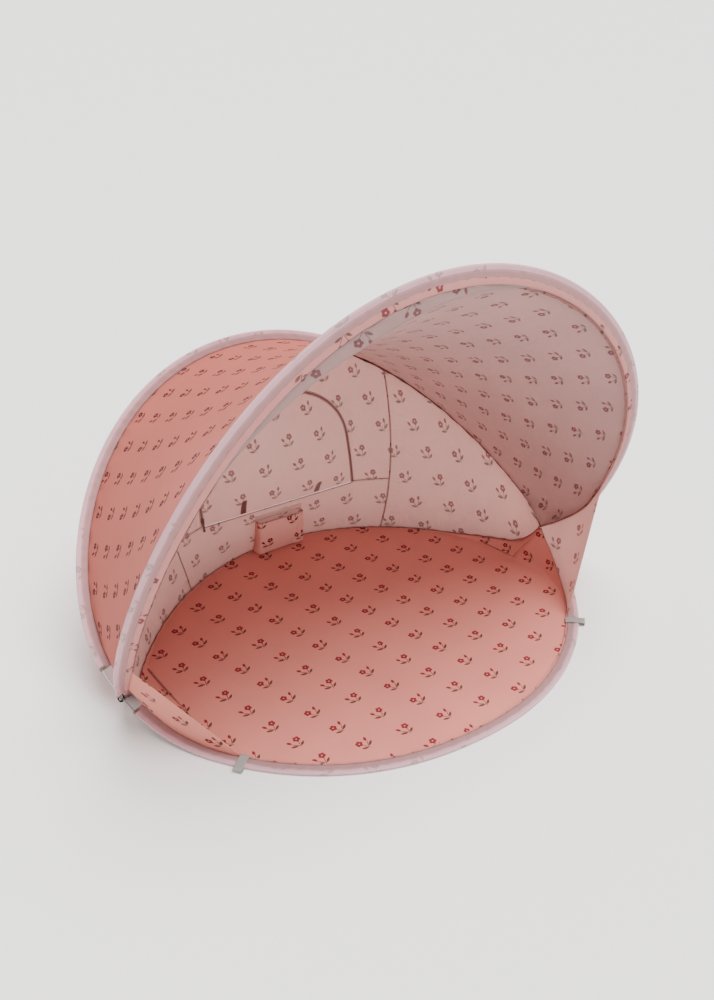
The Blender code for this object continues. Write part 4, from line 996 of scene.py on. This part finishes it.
def canopy_hem_place(s, t):
    """The roof's turned hem between the canopy's sleeve and its seam, print side out."""
    distance = (2 * s - 1) * (VISOR.reach - HEM_TRIM)
    across = VISOR.across(distance)
    share = CANOPY_STRIP_SHARE - HEM_OVERLAP + (1.0 - CANOPY_STRIP_SHARE + HEM_OVERLAP) * t
    up = unit(np.cross(unit(across), VISOR.ahead(distance, 0.002)))
    puff = HEM_PUFF * np.sin(t * math.pi) + HEM_RIPPLE * np.sin(distance * 210 + np.sin(distance * 50))
    return VISOR.wire(distance) + across * share[..., None] + up * puff[..., None]


panel("canopy_turned_hem", canopy_hem_place, 420, 6, (HEM_PRINT,), [],
      body=FRONT_BODY, cloth=0.0024)


# %% Rolled hems at the sleeve ends
HEM_LENGTH, HEM_FROM = 0.006, 0.16     # along the sleeve, and how far round the strip it starts


def hem_place(seam, trim, sign):
    """The turned hem at a sleeve's end: a band that wraps the strip once more."""
    whole = sleeve_place(seam, trim, 0.0007, CANOPY_STRIP_SHARE if seam is VISOR else 1.0)
    share = 0.5 * (1 - (seam.reach - trim - HEM_LENGTH) / (seam.reach - trim))

    def place(s, t):
        along = share * s if sign < 0 else 1 - share * (1 - s)
        return whole(along, HEM_FROM + (1 - 2 * HEM_FROM) * t)
    return place


for name, (seam, trim, body) in SLEEVES.items():
    for side, sign in SIDES:
        panel(f"{name}_hem_{side}", hem_place(seam, trim, sign), 8, 24, (HEM_CLOTH,), [],
              body=body, cloth=0.0004, flip=True)


# %% Wires
def tube(name, points, diameter, material, body, node):
    """A round wire or cord along points, as a curve made into a mesh, in place of a node."""
    curve = bpy.data.curves.new(name, "CURVE")
    curve.dimensions = "3D"
    curve.bevel_depth = diameter / 2
    curve.bevel_resolution = 3
    curve.use_fill_caps = True
    spline = curve.splines.new("POLY")
    spline.points.add(len(points) - 1)
    for knot, point in zip(spline.points, points):
        knot.co = (*[float(value) for value in point], 1.0)
    scratch = bpy.data.objects.new(name + "_line", curve)
    bpy.context.scene.collection.objects.link(scratch)
    bpy.context.view_layer.update()
    mesh = bpy.data.meshes.new_from_object(scratch.evaluated_get(bpy.context.evaluated_depsgraph_get()))
    bpy.data.objects.remove(scratch, do_unlink=True)
    bm = bmesh.new()
    bm.from_mesh(mesh)
    bmesh.ops.remove_doubles(bm, verts=bm.verts, dist=1e-6)
    bmesh.ops.recalc_face_normals(bm, faces=bm.faces)
    bm.to_mesh(mesh)
    bm.free()
    mesh.materials.clear()
    piece = link(name, mesh, (material,))
    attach(piece, body)
    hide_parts(node)


WIRE_END = 0.0012     # how far short of the crossing each half of a wire stops
for name, (seam, trim, body) in SLEEVES.items():
    distance = np.linspace(-(seam.reach - WIRE_END), seam.reach - WIRE_END, 260)
    tube(name + "_spring_wire", seam.wire(distance), WIRE_DIAMETER, SPRING_STEEL, body, name + "_wire")
print("wires", list(SLEEVES))

# %% [markdown]
# ## Seams
#
# Where a sleeve and two panels meet, their raw edges are wrapped in a narrow
# tape cut from printed cloth, which stands off the seam inside the tent. The
# tape is painted darker on the canopy's and arch's seams (painted shade) and
# lighter on the front floor's edge (painted light). The wall's own seams are
# flat: a fold of cloth under a line of stitches, which shows as a thin dark
# line with fine puckers.

# %% Binding tapes
TAPE_STAND = TAPE_END = 0.001     # off the seam, and short of its ends
TAPE_WOBBLE = 0.0007


def tape_place(line, height):
    """A narrow tape that stands off a line: along by s, and out by t."""
    def place(s, t):
        root, out = line(s)
        shift = TAPE_STAND + height * t
        side = unit(np.cross(np.gradient(root, axis=0) if len(root) > 2 else root, out))
        return root + out * shift[..., None] + side * (TAPE_WOBBLE * np.sin(s * 230) * t)[..., None]
    return place


def run_along(seam, first, second):
    """A seam line and the direction halfway between two cloths that leave it."""
    def line(s):
        distance = (2 * s - 1) * (seam.reach - TAPE_END)
        return seam.line(distance), unit(first(distance) + second(distance))
    return line


def leaving(place, seam, near, step):
    """Directions in which a surface leaves its seam."""
    def way(distance):
        u = distance / seam.reach
        return unit(place(u, np.full_like(u, near + step)) - place(u, np.full_like(u, near)))
    return way


def roof_by_u(u, v):
    """The roof by plain shares, as its seams are sewn."""
    canopy, arch = VISOR.line(u * VISOR.reach), ARCH.line(u * ARCH.reach)
    return canopy + (arch - canopy) * v[..., None]


def upright(distance):
    """Straight up, all along a seam."""
    return np.broadcast_to([0.0, 0.0, 1.0], (*distance.shape, 3))


# Painted shade darkens the canopy's and arch's tape, and painted light brightens the front floor's edge tape.
BINDINGS = {
    "front_floor": (FRONT, 0.0028, lambda d: unit(FRONT.across(d)), upright, CORNER_BLEND, LIT_EDGE_TAPE),
    "canopy": (VISOR, 0.0050, leaving(roof_by_u, VISOR, 0.0, 0.02), lambda d: unit(VISOR.across(d)),
               CORNER_BLEND, SHADED_BINDING_TAPE),
    "rear_arch": (ARCH, 0.0120, leaving(wall_place, ARCH, 1.0, -0.02), leaving(roof_by_u, ARCH, 1.0, -0.02),
                  REAR_BODY, SHADED_BINDING_TAPE),
    "rear_floor": (REAR, 0.0050, leaving(wall_place, REAR, 0.0, 0.02), lambda d: unit(REAR.across(d)),
                   REAR_BODY, FLOOR_TAPE_AND_CREASE_SHADE)}
for name, (seam, height, first, second, body, tape_finish) in BINDINGS.items():
    panel(name + "_binding_tape", tape_place(run_along(seam, first, second), height), 420, 4, (tape_finish,),
          [name + "_binding"], body=body, cloth=0.0008)


# %% Flat seams of the wall
STRIP_LIFT, STRIP_CROWN = 0.0006, 0.0008


def strip_place(line, width):
    """A narrow strip laid on the wall's inner face: along by s, and across by t."""
    def place(s, t):
        u, v = line(s)
        root = wall_place(u, v)
        step = 1e-3
        ahead = wall_place(*line(clipped(s + step))) - wall_place(*line(clipped(s - step)))
        face = unit(np.cross(wall_place(u, v + step) - root, wall_place(u + step, v) - root))
        face = face * np.where(face[..., 1:2] > 0, -1.0, 1.0)
        side = unit(np.cross(ahead, face))
        crown = STRIP_LIFT + STRIP_CROWN * np.sin(t * math.pi)
        return root + side * ((t - 0.5) * width)[..., None] + face * crown[..., None]
    return place


def upright_seam(sign):
    """The seam between a side piece and the middle of the wall."""
    def line(s):
        return np.full_like(s, sign * SEAM_SHARE), 0.006 + 0.988 * s
    return line


def foot_seam(low_x, high_x, drop=0.0):
    """A stretch of the level seam at the window's foot, or a little under it."""
    def line(s):
        return wall_shares(low_x + (high_x - low_x) * s, np.full_like(s, WINDOW_FOOT - drop))
    return line


SEAM_X = float(wall_place(np.array(SEAM_SHARE), share_at(np.array(SEAM_SHARE), WINDOW_FOOT))[0])
UPRIGHT_WIDTH, FOOT_WIDTH, CLEAR_OF_FLAP = 0.0034, 0.0022, 0.0028
WALL_SEAMS = {"upright_seam_left": (upright_seam(-1), UPRIGHT_WIDTH),
              "upright_seam_right": (upright_seam(1), UPRIGHT_WIDTH),
              "foot_seam_left": (foot_seam(-SEAM_X, -WINDOW_HALF), FOOT_WIDTH),
              "foot_seam_right": (foot_seam(WINDOW_HALF, SEAM_X), FOOT_WIDTH),
              "foot_seam_middle": (foot_seam(-WINDOW_HALF, WINDOW_HALF, drop=CLEAR_OF_FLAP), FOOT_WIDTH)}
for name, (line, width) in WALL_SEAMS.items():
    panel(name, strip_place(line, width), 90, 6, (FLAT_SEAM,), [],
          cloth=0.0005)

# %% [markdown]
# ## The zip
#
# A coil zip is two tapes, each with a coil of nylon sewn to its edge. Closed,
# it shows as a ribbed ridge between two flat dark bands. The ridge here is a
# ring of small rounded blocks that follow the window's outline.

# %% Zip
def zip_place(s, t):
    """The tape: round the window by s, and across its width by t."""
    return on_wall(*window_line((t - 0.5) * ZIP_WIDTH, s))


panel("zip_tape_cloth", zip_place, 200, 6, (ZIP_TAPE,), ["window_zip"],
      cloth=0.0009, flip=True)

COIL_PITCH, COIL_HALF = 0.0026, (0.0019, 0.0010, 0.0008)
COIL_LIFT, COIL_BEVEL = 0.0008, 0.0003


def coil_blocks():
    """The closed coil: one small bevelled block copied along the window's outline."""
    s = np.linspace(0.002, 0.998, 4000)
    line = on_wall(*window_line(np.zeros_like(s), s), inward=COIL_LIFT)
    length = running_length(line)
    stops = np.arange(COIL_PITCH, length[-1], COIL_PITCH)
    where = read_along(stops, length, line)
    ahead = unit(np.gradient(where, axis=0))
    bm = bmesh.new()
    for place, way in zip(where, ahead):
        side = unit(np.cross(way, [0.0, -1.0, 0.0]))
        out = np.cross(side, way)
        turn = Matrix(np.column_stack([side, way, out]).tolist()).to_4x4()
        shape = Matrix.Translation(Vector(place)) @ turn @ Matrix.Diagonal((*COIL_HALF, 1.0))
        bmesh.ops.create_cube(bm, size=2.0, matrix=shape)
    bmesh.ops.bevel(bm, geom=bm.edges, offset=COIL_BEVEL, affect="EDGES", segments=1, profile=0.5, material=-1)
    print("coil blocks", len(stops))
    return mesh_from(bm, "zip_coil")


coil = link("zip_coil", coil_blocks(), (NYLON_COIL,))
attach(coil, REAR_BODY)
for name, metal in (("zip_slider", CAST_ZINC), ("zip_pull", CAST_ZINC),
                    ("rear_arch_ferrule", SPRING_STEEL), ("rear_floor_ferrule", SPRING_STEEL)):
    NODES[name].data.materials.clear()
    NODES[name].data.materials.append(metal)

# %% [markdown]
# ## Corner ties and stake loops
#
# Four turns of black cord hold each pair of crossing wires. A folded strip of
# webbing on the front seam takes a peg.

# %% Corner ties
CORD_DIAMETER, CORD_TURNS, CORD_POWER = 0.0021, 4, 3.0
CORD_HALF = (0.0052, 0.0072, 0.0034)     # half of the coil's width, height and depth, to the cord's middle
for side, sign in SIDES:
    turns = np.linspace(0, CORD_TURNS * 2 * math.pi, 130)
    drift = np.linspace(-1, 1, len(turns))
    centre = CROSS * [sign, 1, 1]
    lean = np.array([0.0, 0.25, 1.0])
    lean = lean / np.linalg.norm(lean)
    fore = np.cross([1.0, 0.0, 0.0], lean)
    wide, tall = (powered(wave, 2 / CORD_POWER) for wave in (np.cos(turns), np.sin(turns)))
    points = (centre + np.outer(wide * CORD_HALF[0], [1.0, 0.0, 0.0]) + np.outer(tall * CORD_HALF[1], lean)
              + np.outer(drift * CORD_HALF[2], fore))
    tube("corner_knot_" + side, points, CORD_DIAMETER, BLACK_CORD, REAR_BODY, "corner_tie_" + side)


# %% Stake loops
LOOP_FROM_CORNER, LOOP_WIDTH = 0.280, 0.018
LOOP_KNOTS = np.array([     # outward, and up from the wire
    (-0.026, 0.0028), (-0.012, 0.0042), (0.0, 0.0048), (0.0055, 0.0046), (0.0100, 0.0050), (0.0140, 0.0050),
    (0.0160, 0.0042), (0.0160, -0.0010), (0.0145, -0.0020), (0.0100, -0.0021), (0.0052, -0.0016),
    (0.0040, 0.0008)])


def loop_place(sign):
    """A strip of webbing from over the sleeve out to its eye and back under itself."""
    distance = sign * (FRONT.reach - LOOP_FROM_CORNER)
    place = FRONT.wire(np.array(distance))
    outward = -unit(FRONT.across(np.array(distance)))
    outward[2] = 0.0
    outward = unit(outward)
    along = np.array([-outward[1], outward[0], 0.0])
    fine = np.linspace(0, len(LOOP_KNOTS) - 1, 61)
    smooth = read_along(fine, np.arange(len(LOOP_KNOTS)), LOOP_KNOTS)
    for _ in range(3):
        smooth[1:-1] = (smooth[:-2] + 2 * smooth[1:-1] + smooth[2:]) / 4

    def surface(s, t):
        line = read_along(s * (len(smooth) - 1), np.arange(len(smooth)), smooth)
        return (place + outward * line[:, 0:1] + along * ((t - 0.5) * LOOP_WIDTH)[:, None]
                + np.array([0.0, 0.0, 1.0]) * line[:, 1:2])
    return surface


for side, sign in SIDES:
    panel("stake_webbing_" + side, loop_place(sign), 60, 8, (WEBBING,),
          ["stake_loop_" + side], body=f"stake_loop_{side}_body", cloth=0.0012)


# %% [markdown]
# ## Floor, light and camera
#
# The tent stands on a plain pale floor in soft studio light from above and in
# front, and the camera stands where the photograph was taken from.

# %% Stage
PAPER_HALF, PAPER_DROP = 60.0, 0.0006     # the paper lies just under the tent
paper = bmesh.new()
bmesh.ops.create_grid(paper, x_segments=1, y_segments=1, size=PAPER_HALF)
stage_mesh = mesh_from(paper, "studio_floor")
stage_finish, _, stage_shader = finish("matt studio paper")
stage_shader.inputs["Base Color"].default_value = linear("#F7F5F3")     # background paper: pale and matt
stage_shader.inputs["Roughness"].default_value = 0.9
stage_mesh.materials.append(stage_finish)
studio = bpy.data.objects.new("studio_floor", stage_mesh)
studio.location.z = -PAPER_DROP
bpy.context.scene.collection.objects.link(studio)

# %% Light
WORLD_STRENGTH, LAMP_HEIGHT = 0.72, 3.0
world = bpy.data.worlds.new("studio")
bpy.context.scene.world = world
world.use_nodes = True
world.node_tree.nodes["Background"].inputs["Color"].default_value = linear("#FFFDFB")
world.node_tree.nodes["Background"].inputs["Strength"].default_value = WORLD_STRENGTH


def soft_light(name, tilt, spread, power):
    """Light from a part of the sky as broad as its spread. Both angles are in degrees, tilt about X and Y."""
    lamp = bpy.data.lights.new(name, "SUN")
    lamp.energy = power
    lamp.angle = math.radians(spread)
    lit = bpy.data.objects.new(name, lamp)
    lit.location = (0.0, 0.0, LAMP_HEIGHT)
    lit.rotation_euler = (math.radians(tilt[0]), math.radians(tilt[1]), 0.0)
    bpy.context.scene.collection.objects.link(lit)


soft_light("overhead_light", (5.0, 14.0), 50.0, 6.0)
soft_light("front_light", (52.0, -22.0), 60.0, 0.6)

# %% Camera
CAMERA_PLACE, SENSOR_MM, FARTHEST = (-0.9764, -1.6082, 1.4025), 24.0, 50.0
VIEW_YAW, VIEW_PITCH, FOCAL_PX, FRAME_HEIGHT_PX = math.radians(31.954), math.radians(30.528), 1049.81, 1000.0
lens = bpy.data.cameras.new("studio_camera")
lens.sensor_fit = "VERTICAL"
lens.sensor_height = SENSOR_MM
lens.lens = FOCAL_PX / FRAME_HEIGHT_PX * lens.sensor_height
lens.clip_end = FARTHEST
camera = bpy.data.objects.new("studio_camera", lens)
camera.location = CAMERA_PLACE
look = Vector((math.sin(VIEW_YAW) * math.cos(VIEW_PITCH), math.cos(VIEW_YAW) * math.cos(VIEW_PITCH),
               -math.sin(VIEW_PITCH)))
camera.rotation_euler = look.to_track_quat("-Z", "Y").to_euler()
bpy.context.scene.collection.objects.link(camera)
bpy.context.scene.camera = camera
print("camera at", tuple(round(value, 3) for value in camera.location))
